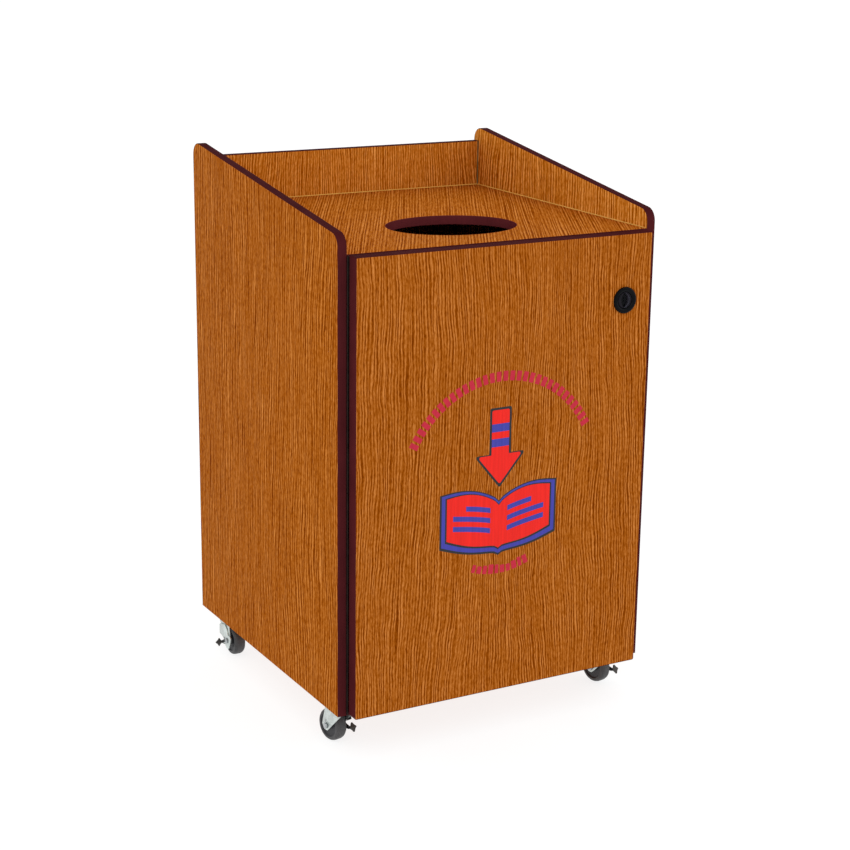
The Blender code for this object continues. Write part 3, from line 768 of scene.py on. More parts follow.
# ------------------------------------------------------------------- cabinet
BAND_PROF = [(-8.0, 0.9), (-8.0, 0.42), (-7.86, 0.24), (-7.55, 0.12),
             (-7.0, 0.06), (-4.0, 0.02), (0.0, 0.0), (4.0, 0.02), (7.0, 0.06),
             (7.55, 0.12), (7.86, 0.24), (8.0, 0.42), (8.0, 0.9)]
for sign, tag, mat in ((-1, "left", M_SIDE_L), (1, "right", M_SIDE_R)):
    xc = sign * (WIDTH / 2 - BOARD / 2)
    o = plate(tag + "_side_board", [side_path(0.92)], BOARD, P(xc, 0, 0),
              "side", [mat, M_CORE, M_SIDE_IN], 0.22, 2, split=True)
    for p in o.data.polygons:
        if p.material_index == 0 and p.normal.x * sign < 0:
            p.material_index = 2
    done(o, "root", "laminate", tag + "_side_panel")
    o = sweep(tag + "_side_moulding", side_path(0.0), BAND_PROF, "side",
              P(xc, 0, 0), [M_BAND])
    done(o, "root", "edge_band", tag + "_side_edge_band")

bx = XIN - 0.9
o = plate("back_board", [[(-bx, 0), (bx, 0), (bx, BACK_TOP - 0.9),
                          (-bx, BACK_TOP - 0.9)]], BOARD,
          P(0, BACK_Y + BOARD / 2, 0), "front", [M_BACK, M_CORE, M_BACK_OUT],
          0.22, 2, split=True)
for p in o.data.polygons:
    if p.material_index == 0 and p.normal.y > 0:
        p.material_index = 2
done(o, "root", "laminate", "back_panel")
o = sweep("back_moulding", [(-XIN, BACK_TOP), (XIN, BACK_TOP)], BAND_PROF,
          "front", P(0, BACK_Y + BOARD / 2, 0), [M_BAND])
done(o, "root", "edge_band", "back_edge_band")

o = plate("top_board", [[(-XIN, 0.9), (XIN, 0.9), (XIN, BACK_Y - GAP),
                         (-XIN, BACK_Y - GAP)],
                        ellipse(HOLE_RX + 0.05, HOLE_RY + 0.05, 144, 0,
                                HOLE_Y)[::-1]],
          BOARD, P(0, 0, TOP_Z - BOARD / 2), "top", [M_TOP, M_CORE], 0.15, 2,
          split=True)
done(o, "root", "laminate", "top_panel")
o = sweep("top_front_moulding", [(XIN, 0.0), (-XIN, 0.0)], BAND_PROF,
          "top", P(0, 0, TOP_Z - BOARD / 2), [M_BAND], flip=1.0)
done(o, "root", "edge_band", "top_front_edge_band")
o = sweep("drop_hole_moulding",
          ellipse(HOLE_RX - BAND, HOLE_RY - BAND, 144, 0, HOLE_Y),
          [(-8.0, 0.98), (-8.0, 0.35), (-7.7, 0.1), (-6.8, 0.0), (0.0, 0.0),
           (6.8, 0.0), (7.7, 0.1), (8.0, 0.35), (8.0, 0.98)],
          "top", P(0, 0, TOP_Z - BOARD / 2), [M_RING_LIT], closed=True)
done(o, "root", "edge_band", "drop_hole_edge_band")

o = plate("bottom_board", [[(-XIN, 0.9), (XIN, 0.9), (XIN, BACK_Y - GAP),
                            (-XIN, BACK_Y - GAP)]],
          BOARD, P(0, 0, BOARD / 2), "top", [M_BOTTOM, M_CORE], 0.22, 2,
          split=True)
done(o, "root", "laminate", "bottom_panel")
o = sweep("bottom_front_moulding", [(XIN, 0.0), (-XIN, 0.0)], BAND_PROF,
          "top", P(0, 0, BOARD / 2), [M_BAND])
done(o, "root", "edge_band", "bottom_front_edge_band")

# light tan beads where the recessed top meets the back and the sides
BR = 1.4
bead = [(0, 0), (BR, 0), (BR * 0.62, BR * 0.16), (BR * 0.34, BR * 0.34),
        (BR * 0.16, BR * 0.62), (0, BR)]
verts, faces = [], []
ring = [(-XIN - 0.3, 4.0, 1, 0), (-XIN - 0.3, BACK_Y, 1, -1),
        (XIN + 0.3, BACK_Y, -1, -1), (XIN + 0.3, 4.0, -1, 0)]
for x, y, sx, sy in ring:
    for a, b in bead:
        verts.append(P(x + sx * a, y + sy * a, TOP_Z + b))
k = len(bead)
for i in range(3):
    for a in range(k):
        b = (a + 1) % k
        faces.append((i * k + a, i * k + b, (i + 1) * k + b, (i + 1) * k + a))
faces.append(tuple(range(k)))
faces.append(tuple(3 * k + a for a in range(k))[::-1])
o = from_data("top_joint_bead", verts, faces, [M_BEAD])
done(o, "root", "cleat")
# dark strips up the two back corners: painted shade of the gap where the back meets the
# sides
for sx, tag in ((1, "left"), (-1, "right")):
    sec = [(-sx * XIN + sx * a, BACK_Y - b) for a, b in
           ((-0.3, 0), (1.5, 0), (0.8, 0.3), (0.3, 0.8), (-0.3, 1.5))]
    sec = sec if sx > 0 else sec[::-1]
    hz = (BACK_TOP - 0.6 - TOP_Z - 0.8) / 2
    o = plate("corner_gap_shade_" + tag, [sec[::-1]], 2 * hz,
              P(0, 0, TOP_Z + 0.8 + hz), "top", [M_CORNER_SHADE], 0.02, 1)
    done(o, "root", "cleat")

# cleats inside, screwed to the boards
CLEAT = 19.0
for sign, tag in ((-1, "left"), (1, "right")):
    xa, xb = sorted((sign * XIN, sign * (XIN - CLEAT)))
    for where, za in (("top", TOP_Z - BOARD - GAP - CLEAT),
                      ("bottom", BOARD + GAP)):
        o = block("%s_batten_%s" % (where, tag), (xa, xb), (32, BACK_Y - 10),
                  (za, za + CLEAT), [M_CLEAT], 1.4)
        heads = []
        for i in range(4):
            yy = 70 + i * 150.0
            heads.append(screw_head(
                "s", P(sign * (XIN - CLEAT) + sign * 0.3, yy, za + CLEAT / 2),
                (-sign, 0, 0), 4.0, 1.4))
        o = join(o.name, [o] + heads)
        done(o, "root", "cleat", "%s_cleat_%s" % (where, tag))

# strike angle for the cam
sx0 = LOCK_X + CAM_L - 14.0
prof = soft([(XIN, 29.0), (XIN - 2.0, 29.0), (XIN - 2.0, 3.0), (sx0, 3.0),
             (sx0, 1.0), (XIN, 1.0)], [0.4, 0.4, 1.2, 0.4, 0.4, 2.0], 4)
o = plate("strike_angle", [prof], 44.0, P(0, 0, LOCK_Z), "top", [M_ZINC], 0.35,
          2)
heads = [screw_head("s", P(XIN - 2.0, 18.0, LOCK_Z + dz), (-1, 0, 0), 3.6, 1.3)
         for dz in (-13, 13)]
o = join("strike_angle", [o] + heads)
done(o, "root", "zinc", "strike_plate")

# ---------------------------------------------------------------------- door
dw, dh = DOOR_X1 - DOOR_X0, DOOR_Z1 - DOOR_Z0
dcx, dcz = (DOOR_X0 + DOOR_X1) / 2, (DOOR_Z0 + DOOR_Z1) / 2


def rect(w, h, r, seg=6):
    return rounded([(-w / 2, -h / 2), (w / 2, -h / 2), (w / 2, h / 2),
                    (-w / 2, h / 2)], [r] * 4, seg)


o = plate("door_board", [rect(dw - 1.84, dh - 1.84, 2.1),
                         ellipse(LOCK_BODY_R + GAP, LOCK_BODY_R + GAP, 64,
                                 LOCK_X - dcx, LOCK_Z - dcz)[::-1]],
          DOOR_T, P(dcx, DOOR_FRONT + DOOR_T / 2, dcz), "front",
          [M_DOOR, M_CORE], 0.22, 2, split=True)
done(o, "door", "laminate", "door_panel")
H = DOOR_T / 2
DOOR_PROF = [(-H, 0.9), (-H, 0.42), (-H + 0.14, 0.24), (-H + 0.45, 0.12),
             (-H + 1.0, 0.06), (-H + 4, 0.02), (0.0, 0.0), (H - 4, 0.02),
             (H - 1.0, 0.06), (H - 0.45, 0.12), (H - 0.14, 0.24), (H, 0.42),
             (H, 0.9)]
o = sweep("door_moulding", rect(dw, dh, 3.0, 8), DOOR_PROF, "front",
          P(dcx, DOOR_FRONT + DOOR_T / 2, dcz), [M_BAND], closed=True,
          flip=-1.0)
done(o, "door", "edge_band", "door_edge_band")

# continuous hinge
HZ0, HZ1, KNUCKLES, LEAF_T, LEAF_W = 3.0, 785.0, 10, 0.8, 22.0
LZ0, LZ1 = BOARD + GAP, TOP_Z - BOARD - GAP   # the cabinet leaf, between boards
kl = (HZ1 - HZ0) / KNUCKLES


def leaf(name, which, cabinet, body, node):
    parts = []
    for i in range(which, KNUCKLES, 2):
        a, b = HZ0 + i * kl + 0.25, HZ0 + (i + 1) * kl - 0.25
        parts.append(lathe("k", soft([(HINGE_PIN_R + 0.25, b), (HINGE_R, b),
                                      (HINGE_R, a), (HINGE_PIN_R + 0.25, a)],
                                     0.15, 2),
                           P(HINGE_X, HINGE_Y, 0), (0, 0, 1), [M_HINGE_SHADED], 24,
                           closed=True))
        tab = block("t", *(((-XIN, -XIN + LEAF_T), (HINGE_Y + 1.2, HINGE_Y + 6),
                            (max(a, LZ0), min(b, LZ1))) if cabinet else
                           ((HINGE_X + 1.2, HINGE_X + 5),
                            (-DOOR_GAP + GAP, -DOOR_GAP + GAP + LEAF_T),
                            (a, b))), [M_HINGE_SHADED], 0.15)
        parts.append(tab)
    if cabinet:
        hole = [ellipse(2.4, 2.4, 20, 13.5, HZ0 + (i + 0.5) * kl)[::-1]
                for i in range(KNUCKLES)]
        parts.append(plate("leaf", [[(HINGE_Y + 5.5, LZ0), (LEAF_W, LZ0),
                                     (LEAF_W, LZ1), (HINGE_Y + 5.5, LZ1)]] + hole,
                           LEAF_T, P(-XIN + LEAF_T / 2, 0, 0), "side",
                           [M_HINGE_SHADED], 0.12, 1))
        heads = [screw_head("s", P(-XIN + 0.1, 13.5, HZ0 + (i + 0.5) * kl),
                            (1, 0, 0), 3.4, 1.3, [M_HINGE_SHADED])
                 for i in range(KNUCKLES)]
    else:
        hole = [ellipse(2.4, 2.4, 20, HINGE_X + 15.5, HZ0 + (i + 0.5) * kl)[::-1]
                for i in range(KNUCKLES)]
        parts.append(plate("leaf", [[(HINGE_X + 4.5, HZ0),
                                     (HINGE_X + 1.5 + LEAF_W, HZ0),
                                     (HINGE_X + 1.5 + LEAF_W, HZ1),
                                     (HINGE_X + 4.5, HZ1)]] + hole,
                           LEAF_T, P(0, -DOOR_GAP + GAP + LEAF_T / 2, 0),
                           "front", [M_HINGE_SHADED], 0.12, 1))
        heads = [screw_head("s", P(HINGE_X + 15.5, -DOOR_GAP + 0.4,
                                   HZ0 + (i + 0.5) * kl), (0, 1, 0), 3.4, 1.2,
                            [M_HINGE_SHADED]) for i in range(KNUCKLES)]
    done(join(name, parts + heads), body, "hinge_dark", node)


leaf("hinge_leaf_on_side", 0, True, "root", "hinge_cabinet_leaf")
leaf("hinge_leaf_on_door", 1, False, "door", "hinge_door_leaf")
o = lathe("hinge_wire", soft_open([(0, HZ1 + 1.0), (HINGE_PIN_R, HZ1 + 1.0),
                                   (HINGE_PIN_R, HZ0 - 1.0), (0, HZ0 - 1.0)],
                                  0.3, 2),
          P(HINGE_X, HINGE_Y, 0), (0, 0, 1), [M_HINGE_SHADED], 20)
done(o, "root", "hinge_dark", "hinge_pin")

# -------------------------------------------------------------- the cam lock
F = -DOOR_FRONT
lc = P(LOCK_X, 0, LOCK_Z)
body_prof = soft([(14.5, F + 1.3), (16.0, F + 2.6), (17.6, F + BEZEL_OUT),
                  (20.4, F + BEZEL_OUT), (22.4, F + 2.5), (LOCK_R, F + 1.2),
                  (LOCK_R, F + 0.1), (LOCK_BODY_R, F + 0.1),
                  (LOCK_BODY_R, -BODY_BACK), (8.3, -BODY_BACK),
                  (8.3, F - 4.6), (14.5, F - 4.6)],
                 [0.5, 0.6, 0.8, 0.8, 0.7, 0.4, 0.05, 0.05, 0.6, 0.3, 0.2, 0.2],
                 4)
body = lathe("lock_bezel", body_prof, lc, (0, -1, 0), [M_LOCK], 128,
             closed=True)
done(body, "door", "lock_black", "lock_housing")
nut = plate("lock_ring_nut", [soft(hexagon(23.0), 1.2, 4),
                              ellipse(LOCK_BODY_R + 0.2, LOCK_BODY_R + 0.2,
                                      64)[::-1]],
            4.0, P(LOCK_X, -DOOR_GAP + GAP + 2.0, LOCK_Z), "front", [M_ZINC],
            0.5, 3)
done(nut, "door", "zinc", "lock_nut")

plug = lathe("lock_rotor",
             soft_open([(0, F + 0.9), (9.0, F + 1.1), (13.3, F + 1.2),
                        (14.2, F + 0.3), (14.2, F - 4.3), (8.0, F - 4.3),
                        (8.0, -BODY_BACK - 0.3), (4.5, -BODY_BACK - 0.3),
                        (4.5, -BODY_BACK - 3.0), (0, -BODY_BACK - 3.0)],
                       [0, 0, 0.5, 0.3, 0.2, 0.2, 0.3, 0.2, 0.3, 0], 3),
             lc, (0, -1, 0), [M_LOCK_IN], 96)


def lens(hw, hh, n=16):
    r = (hw * hw + hh * hh) / (2 * hw)
    a = math.asin(hh / r)
    out = []
    for sgn in (1, -1):
        for k in range(n):
            th = -a + 2 * a * k / n
            out.append((sgn * (r * math.cos(th) - (r - hw)),
                        sgn * r * math.sin(th)))
    return out


# lens-shaped finger recess, in two steps, with the keyway at its bottom
c1 = plate("c", [lens(9.6, 13.3)], 5.0, P(LOCK_X, DOOR_FRONT - 1.0, LOCK_Z),
           "front", [], 0.05, 1)
boolean(plug, c1, 'DIFFERENCE')
c2 = plate("c", [lens(6.2, 12.0)], 8.0, P(LOCK_X, DOOR_FRONT + 0.2, LOCK_Z),
           "front", [], 0.05, 1)
boolean(plug, c2, 'DIFFERENCE')
c3 = block("c", (LOCK_X - 0.9, LOCK_X + 0.9), (DOOR_FRONT - 2, DOOR_FRONT + 9),
           (LOCK_Z - 4.6, LOCK_Z + 4.6), [], 0)
boolean(plug, c3, 'DIFFERENCE')
for q in (M_LOCK_IN, M_LOCK_EDGE_HIGHLIGHT, M_LOCK):
    if q.name not in plug.data.materials:
        plug.data.materials.append(q)
# the walls of the shallow recess take the lighter grey, a painted highlight
for p in plug.data.polygons:
    c = (p.center - P(LOCK_X, DOOR_FRONT, LOCK_Z)) / MM
    if math.hypot(c.x, c.z) < 13.7 and -1.3 < c.y < 1.45 \
            and abs(p.normal.y) < 0.5:
        p.material_index = 1
    # faces deeper in the recess take the bezel's darker black: painted shade
    elif math.hypot(c.x, c.z) < 13.7 and c.y > 1.6:
        p.material_index = 2
# the bevelled edges take the lighter grey too, a painted highlight
plug = bevel(plug, 0.34, 2, 40.0, 1)
done(plug, "lock", "lock_black", "lock_plug")

cam = plate("lock_cam_bar",
            [rounded([(-7, 9), (-7, -CAM_L), (7, -CAM_L), (7, 9)],
                     [6.5, 4, 4, 6.5], 10),
             ellipse(4.6, 4.6, 40)[::-1]],
            2.0, P(LOCK_X, BODY_BACK + 2.0, LOCK_Z), "front", [M_ZINC], 0.3, 3)
done(cam, "lock", "zinc", "lock_cam")
sc = plate("lock_bolt", [soft(hexagon(6.0, 30), 0.4, 3)], 2.2,
           P(LOCK_X, BODY_BACK + 3.0 + GAP + 1.1, LOCK_Z), "front",
           [M_ZINC_DARK], 0.35, 3)
tip = lathe("t", soft_open([(0, 0), (4.2, 0), (4.2, -3.0), (3.6, -3.4),
                            (0, -3.4)], 0.3, 2),
            P(LOCK_X, BODY_BACK + 3.0 + GAP, LOCK_Z), (0, -1, 0),
            [M_ZINC_DARK], 32)
done(join("lock_bolt", [sc, tip]), "lock", "zinc", "lock_cam_screw")

# ----------------------------------------------------------------------- bin
blo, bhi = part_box("bin")
BCY = ((blo.y + bhi.y) / 2 - Y0) / MM
HX, HY = (bhi.x - blo.x) / 2 / MM, (bhi.y - blo.y) / 2 / MM
BZ0, BZ1 = (blo.z - Z0) / MM, (bhi.z - Z0) / MM


def rrect(hx, hy, r, n=12):
    r = max(0.5, min(r, hx - 1, hy - 1))
    pts = []
    for cx, cy, a0 in ((hx - r, hy - r, 0), (-hx + r, hy - r, 90),
                       (-hx + r, -hy + r, 180), (hx - r, -hy + r, 270)):
        for k in range(n + 1):
            a = math.radians(a0 + 90.0 * k / n)
            pts.append((cx + r * math.cos(a), cy + r * math.sin(a)))
    # extra points along the straight walls
    out = []
    m = len(pts)
    for i in range(m):
        a, b = pts[i], pts[(i + 1) % m]
        out.append(a)
        if math.dist(a, b) > 60:
            for k in range(1, 24):
                out.append((a[0] + (b[0] - a[0]) * k / 24,
                            a[1] + (b[1] - a[1]) * k / 24))
    return out


def wall(z):
    f = (z - 16.3) / (668.0 - 16.3)
    return 200.0 + 40.0 * f, 200.0 + 35.0 * f


W3 = 3.0
rows = []                                     # (hx, hy, radius, z)


def row(inset, z, dz=0.0):
    hx, hy = wall(z)
    rows.append((hx - inset, hy - inset, 38.0 - inset, z + dz))


rows.append((60.0, 60.0, 20.0, BZ0 + W3))
rows.append((188.0, 188.0, 30.0, BZ0 + W3))
row(W3 + 3.0, BZ0 + W3 + 1.0)
row(W3 + 0.6, BZ0 + W3 + 4.0)
row(W3, BZ0 + W3 + 10.0)
for i in range(1, 8):
    row(W3, BZ0 + 10 + (BZ1 - BZ0 - 20) * i / 8)
row(W3, BZ1 - 6.0)
row(W3 - 0.6, BZ1 - 1.6)
row(W3 - 2.2, BZ1 - 0.3)
hx, hy = wall(668.0)
rx, ry = HX, HY
rows.append((hx + 2.0, hy + 2.0, 40.0, BZ1))
rows.append((rx - 4.5, ry - 4.5, 50.0, BZ1))
rows.append((rx - 2.4, ry - 2.4, 51.5, BZ1 - 0.7))
rows.append((rx - 1.2, ry - 1.2, 52.5, BZ1 - 2.6))
rows.append((rx, ry, 53.0, BZ1 - 18.0))
rows.append((rx - 1.0, ry - 1.0, 52.0, BZ1 - 18.8))
rows.append((rx - 2.6, ry - 2.6, 50.6, BZ1 - 18.4))
rows.append((rx - 4.2, ry - 4.2, 50.0, BZ1 - 5.0))
rows.append((hx + 3.0, hy + 3.0, 41.0, BZ1 - 3.4))
row(0.0, BZ1 - 7.0)
for i in range(7, 0, -1):
    row(0.0, BZ0 + 10 + (BZ1 - BZ0 - 20) * i / 8)
row(0.0, BZ0 + 12.0)
row(0.8, BZ0 + 6.0)
row(3.0, BZ0 + 2.4)
row(7.0, BZ0 + 0.6)
rows.append((186.0, 186.0, 28.0, BZ0))
rows.append((60.0, 60.0, 20.0, BZ0))
verts, faces = [], []
loops = []
for hx_, hy_, r_, z_ in rows:
    pts = rrect(hx_, hy_, r_)
    loops.append((len(verts), len(pts)))
    for a, b in pts:
        verts.append(P(a, BCY + b, z_))
counts = {n for _, n in loops}
if len(counts) == 1:
    cnt = counts.pop()
    for i in range(len(loops) - 1):
        a0, b0 = loops[i][0], loops[i + 1][0]
        for s in range(cnt):
            s2 = (s + 1) % cnt
            faces.append((a0 + s, a0 + s2, b0 + s2, b0 + s))
    faces.append(tuple(range(cnt)))
    last = loops[-1][0]
    faces.append(tuple(last + s for s in range(cnt))[::-1])
else:
    raise RuntimeError("bin sections differ: %s" % counts)
o = from_data("bin_tub", verts, faces, [M_BIN])
done(o, "root", "bin", "bin")


# ------------------------------------------------------------------- casters
def local(x, y, z):
    return Vector((x * MM, y * MM, z * MM))


def caster_parts():
    """One caster about its swivel axis, its top at z 0, trailing to +Y."""
    out = {}
    wy = TRAIL
    # mounting plate and its screws
    pl = plate("mount", [rounded([(-24, -30), (24, -30), (24, 30), (-24, 30)],
                                 [5] * 4, 8),
                         ellipse(4.3, 4.3, 32)[::-1]],
               2.2, local(0, 0, -GAP - 1.1), "top", [M_ZINC], 0.45, 3)
    heads = []
    for sx in (-1, 1):
        for sy in (-1, 1):
            w = lathe("w", soft([(2.0, -2.5), (5.4, -2.5), (5.4, -3.2),
                                 (2.0, -3.2)], 0.2, 2),
                      local(sx * 18, sy * 24, 0), (0, 0, 1), [M_ZINC_DARK], 32,
                      closed=True)
            h = plate("h", [soft(hexagon(4.4, 15), 0.3, 2)], 2.4,
                      local(sx * 18, sy * 24, -4.3), "top", [M_ZINC_DARK],
                      0.35, 2)
            heads += [w, h]
    out["plate"] = (join("mount", [pl] + heads), "root", "zinc")
    out["kingpin"] = (lathe("pin", soft_open(
        [(0, -1.0), (4.0, -1.0), (4.0, -12.3), (7.0, -12.3), (7.0, -13.6),
         (5.2, -15.0), (0, -15.0)], [0, 0.2, 0.2, 0.3, 0.8, 0.8, 0], 3),
        local(0, 0, 0), (0, 0, 1), [M_ZINC_DARK], 48), "root", "zinc")

    # fork: a channel bent from sheet, cut to the yoke's side outline
    zt = -9.0
    h = zt - AXLE_Z
    ch = soft([(-FORK_OUT, AXLE_Z - 14), (-FORK_OUT, zt), (FORK_OUT, zt),
               (FORK_OUT, AXLE_Z - 14), (FORK_IN, AXLE_Z - 14),
               (FORK_IN, zt - 2.6), (-FORK_IN, zt - 2.6),
               (-FORK_IN, AXLE_Z - 14)],
              [0, 3.6, 3.6, 0, 0, 1.6, 1.6, 0], 6)
    channel = plate("channel", [ch], 90.0, local(0, 8, 0), "front", [M_ZINC],
                    0.02, 1)
    leg = rounded([(a, AXLE_Z + b) for a, b in
                   ((TRAIL - 42.0, h + 1), (TRAIL - 42.0, h - 6.0),
                    (TRAIL - 10.5, -1.5), (TRAIL - 3.0, -8.6),
                    (TRAIL + 4.5, -8.6), (TRAIL + 12.0, 0.5),
                    (TRAIL + 4.0, h - 6.0), (TRAIL + 4.0, h + 1))],
                  [0, 3, 8, 2.5, 2.5, 5, 6, 0], 8)
    legs = plate("legs", [leg], 40.0, local(0, 0, 0), "side", [M_ZINC], 0.02, 1)
    boolean(channel, legs, 'INTERSECT')
    for c in (lathe("c", [(0, 30), (3.2, 30), (3.2, -30), (0, -30)],
                    local(0, wy, AXLE_Z), (1, 0, 0), [], 40),
              lathe("c", [(0, 0), (4.2, 0), (4.2, -20), (0, -20)],
                    local(0, 0, 0), (0, 0, 1), [], 40)):
        boolean(channel, c, 'DIFFERENCE')
    channel = bevel(channel, 0.35, 2, 40.0)
    race = lathe("race", soft([(4.2, -3.0), (14.0, -3.0), (17.5, -4.8),
                               (17.5, -7.4), (15.6, zt - 0.8),
                               (4.2, zt - 0.8)],
                              [0.1, 1.2, 1.4, 0.8, 0.5, 0.1], 5),
                 local(0, 0, 0), (0, 0, 1), [M_ZINC], 80, closed=True)
    rivet = lathe("rivet", soft_open([(0, 1.0), (1.5, 0.7), (2.1, 0.0),
                                      (2.1, -1.0), (0, -1.0)],
                                     [0, 0.5, 0.3, 0, 0], 3),
                  local(-FORK_OUT - 0.1, TRAIL + 2.0, AXLE_Z + 8.5),
                  (-1, 0, 0), [M_ZINC_DARK], 28)
    out["fork"] = (join("fork", [channel, race, rivet]), "swivel", "zinc")

    # axle bolt: hex head on the plain side, washer and nut by the lever
    f = FORK_OUT + GAP
    g = f + 2.2 + GAP
    shank = lathe("shank", soft_open([(0, g + 2.7), (2.9, g + 2.7), (3.0, g + 2),
                                      (3.0, -f - 0.2), (0, -f - 0.2)],
                                     [0, 0.3, 0, 0, 0], 2),
                  local(0, wy, AXLE_Z), (1, 0, 0), [M_ZINC_DARK], 32)
    head = plate("head", [soft(hexagon(5.5, 10), 0.5, 3)], 2.6,
                 local(-f - 1.4, wy, AXLE_Z), "side", [M_ZINC_DARK], 0.45, 3)
    nutp = plate("nut", [soft(hexagon(5.5, 25), 0.5, 3)], 2.0,
                 local(g + 1.4, wy, AXLE_Z), "side", [M_ZINC_DARK], 0.45, 3)
    wash = lathe("wash", soft([(3.0, g + 0.4), (5.6, g + 0.4), (5.6, g - 0.1),
                               (3.0, g - 0.1)], 0.12, 2),
                 local(0, wy, AXLE_Z), (1, 0, 0), [M_ZINC_DARK], 40,
                 closed=True)
    out["axle"] = (join("axle", [shank, head, nutp, wash]), "swivel", "zinc")

    # wheel: crowned tread on a moulded hub
    w, R = WHEEL_W / 2, WHEEL_R
    prof = [(3.3, w + 0.8), (7.5, w + 0.8), (8.2, w - 2.6), (19.6, w - 2.6),
            (21.4, w - 0.3), (R - 3.2, w - 0.5), (R - 0.9, w - 3.2), (R, w - 6.5),
            (R, 6.5 - w), (R - 0.9, 3.2 - w), (R - 3.2, 0.5 - w),
            (21.4, 0.3 - w), (19.6, 2.6 - w), (8.2, 2.6 - w),
            (7.5, -w - 0.8), (3.3, -w - 0.8)]
    rad = [0.2, 0.6, 0.8, 1.0, 0.8, 1.5, 1.6, 3.0, 3.0, 1.6, 1.5, 0.8, 1.0,
           0.8, 0.6, 0.2]
    wheel = lathe("wheel", soft(prof, rad, 5), local(0, wy, AXLE_Z), (1, 0, 0),
                  [M_WHEEL, M_HUB], 112, closed=True)
    for p in wheel.data.polygons:
        c = p.center
        if math.hypot(c.y - wy * MM, c.z - AXLE_Z * MM) < 21.0 * MM:
            p.material_index = 1
    out["wheel"] = (wheel, "wheel", "wheel")

    # brake lever on the axle: a zinc cheek plate whose wheel-side face and front edges
    # are black, the wheel-side black as painted shade
    xm = f + 1.1
    arm = rounded([(-a, b) for a, b in
                   ((-10.5, -8.5), (-18.5, 2.5), (-17.5, 8.0), (-8.5, 9.5),
                    (-7.0, 22.0), (0.0, 31.0), (23.0, 33.0), (26.5, 31.0),
                    (31.5, 14.5), (26.0, 11.5), (11.0, 2.5), (27.0, -0.5),
                    (27.0, -5.5), (11.5, -8.0), (6.5, -15.5), (-1.0, -16.5))],
                  [5, 3, 3, 3, 4, 4, 2, 2, 2, 3, 2, 1.2, 1.2, 2, 4, 4], 6)
    lever = plate("lever", [arm, ellipse(3.2, 3.2, 32)[::-1]], 2.2,
                  local(xm, wy, AXLE_Z), "side", [M_ZINC, M_LEVER_BLACK_SHADE, M_PAD], 0.05, 1)
    star = []
    for i in range(4):
        a0 = math.pi / 2 * i
        rxx, rzz = 7.4, 9.4
        star.append((rxx * math.cos(a0), rzz * math.sin(a0)))
        star.append((0.60 * rxx * math.cos(a0 + math.pi / 4),
                     0.60 * rzz * math.sin(a0 + math.pi / 4)))
    pad = plate("pad", [soft(star, [0.9, 2.0] * 4, 5)], 3.0,
                Vector((0, 0, 0)), "top", [M_PAD], 0.05, 1)
    pad.data.transform(Matrix.Translation(
        local(21.8, wy - 28.5, AXLE_Z - 3.0))
        @ Matrix.Rotation(math.radians(62.0), 4, 'X'))

    def lblock(x, y, z, e):
        b = block("b", x, y, z, [M_PAD], e)
        b.data.transform(Matrix.Translation(-P(0, 0, 0)))
        return b

    neck = lblock((f + 0.4, 21.5), (wy - 28.6, wy - 25.6),
                  (AXLE_Z - 4.8, AXLE_Z - 1.4), 0.3)
    for p in (neck, pad):
        boolean(lever, p, 'UNION')
    lever = bevel(lever, 0.4, 2, 40.0)
    # the plate's wheel-side face and front and lower edges take black, on the
    # wheel-side face as painted shade; the outer face and upper edges zinc, the neck
    # and pad grey
    for p in lever.data.polygons:
        c = p.center / MM
        cheek = f + 0.2 < c.x < f + 2.4 and p.normal.x > -0.3 and (
            p.normal.x > 0.6 or p.normal.y > -0.2) and (
            c.z > AXLE_Z + 1.0 or c.y > wy - 14.0)
        p.material_index = 0 if cheek else 2 if c.x > f + 2.6 else 1
    out["brake_lever"] = (lever, "brake", "brake")
    return out


master = caster_parts()
AXLE = local(0, TRAIL, AXLE_Z)
for tag, cx, cy, s, swivel, press in CASTERS:
    half = Matrix.Identity(4) if s > 0 else Matrix.Rotation(math.pi, 4, 'Z')
    for part, (src, body, slot) in master.items():
        turn = half
        if body != "root":
            turn = Matrix.Rotation(math.radians(swivel), 4, 'Z') @ turn
        if body == "brake":
            turn = (turn @ Matrix.Translation(AXLE)
                    @ Matrix.Rotation(math.radians(press), 4, 'X')
                    @ Matrix.Translation(-AXLE))
        me = src.data.copy()
        me.transform(Matrix.Translation(P(cx, cy, 0)) @ turn)
        o = bpy.data.objects.new("caster_%s_%s_piece" % (tag, part), me)
        me.name = o.name
        bpy.context.scene.collection.objects.link(o)
        done(o, "root" if body == "root" else "caster_%s_%s" % (tag, body),
             slot, "caster_%s_%s" % (tag, part))
for src, _, _ in master.values():
    bpy.data.objects.remove(src, do_unlink=True)

# -------------------------------------------------- emblem on the door front
CRIMSON = film("film_crimson", lin(186, 42, 62))
RED = film("film_red", lin(228, 40, 33))
BLUE = film("film_blue", lin(67, 67, 158))
CHAR = film("film_charcoal", lin(50, 50, 52))
ECX, ECZ = -12.0, 376.0                       # centre of the emblem's arcs


def decal(name, loops, mat, level):
    """A cut film on the door's front; level is its place in the stack."""
    return plate(name, loops, 0.10, P(0, DOOR_FRONT - 0.02 - 0.09 * level, 0),
                 "front", [mat], 0.02, 1)


def spine(r0, r1, ang, w):
    """A small book spine standing on an arc about the emblem's centre."""
    a = math.radians(ang)
    ux, uz = math.sin(a), math.cos(a)           # outwards
    tx, tz = math.cos(a), -math.sin(a)          # along the arc
    out = []
    h = r1 - r0
    for c0, c1 in ((0.0, 1.0),):
        pts = []
        for t_, r_ in ((-w / 2, r0 + h * c0), (w / 2, r0 + h * c0),
                       (w / 2, r0 + h * c1), (-w / 2, r0 + h * c1)):
            pts.append((ECX + ux * r_ + tx * t_, ECZ + uz * r_ + tz * t_))
        out.append(rounded(pts, [0.6] * 4, 2))
    return out


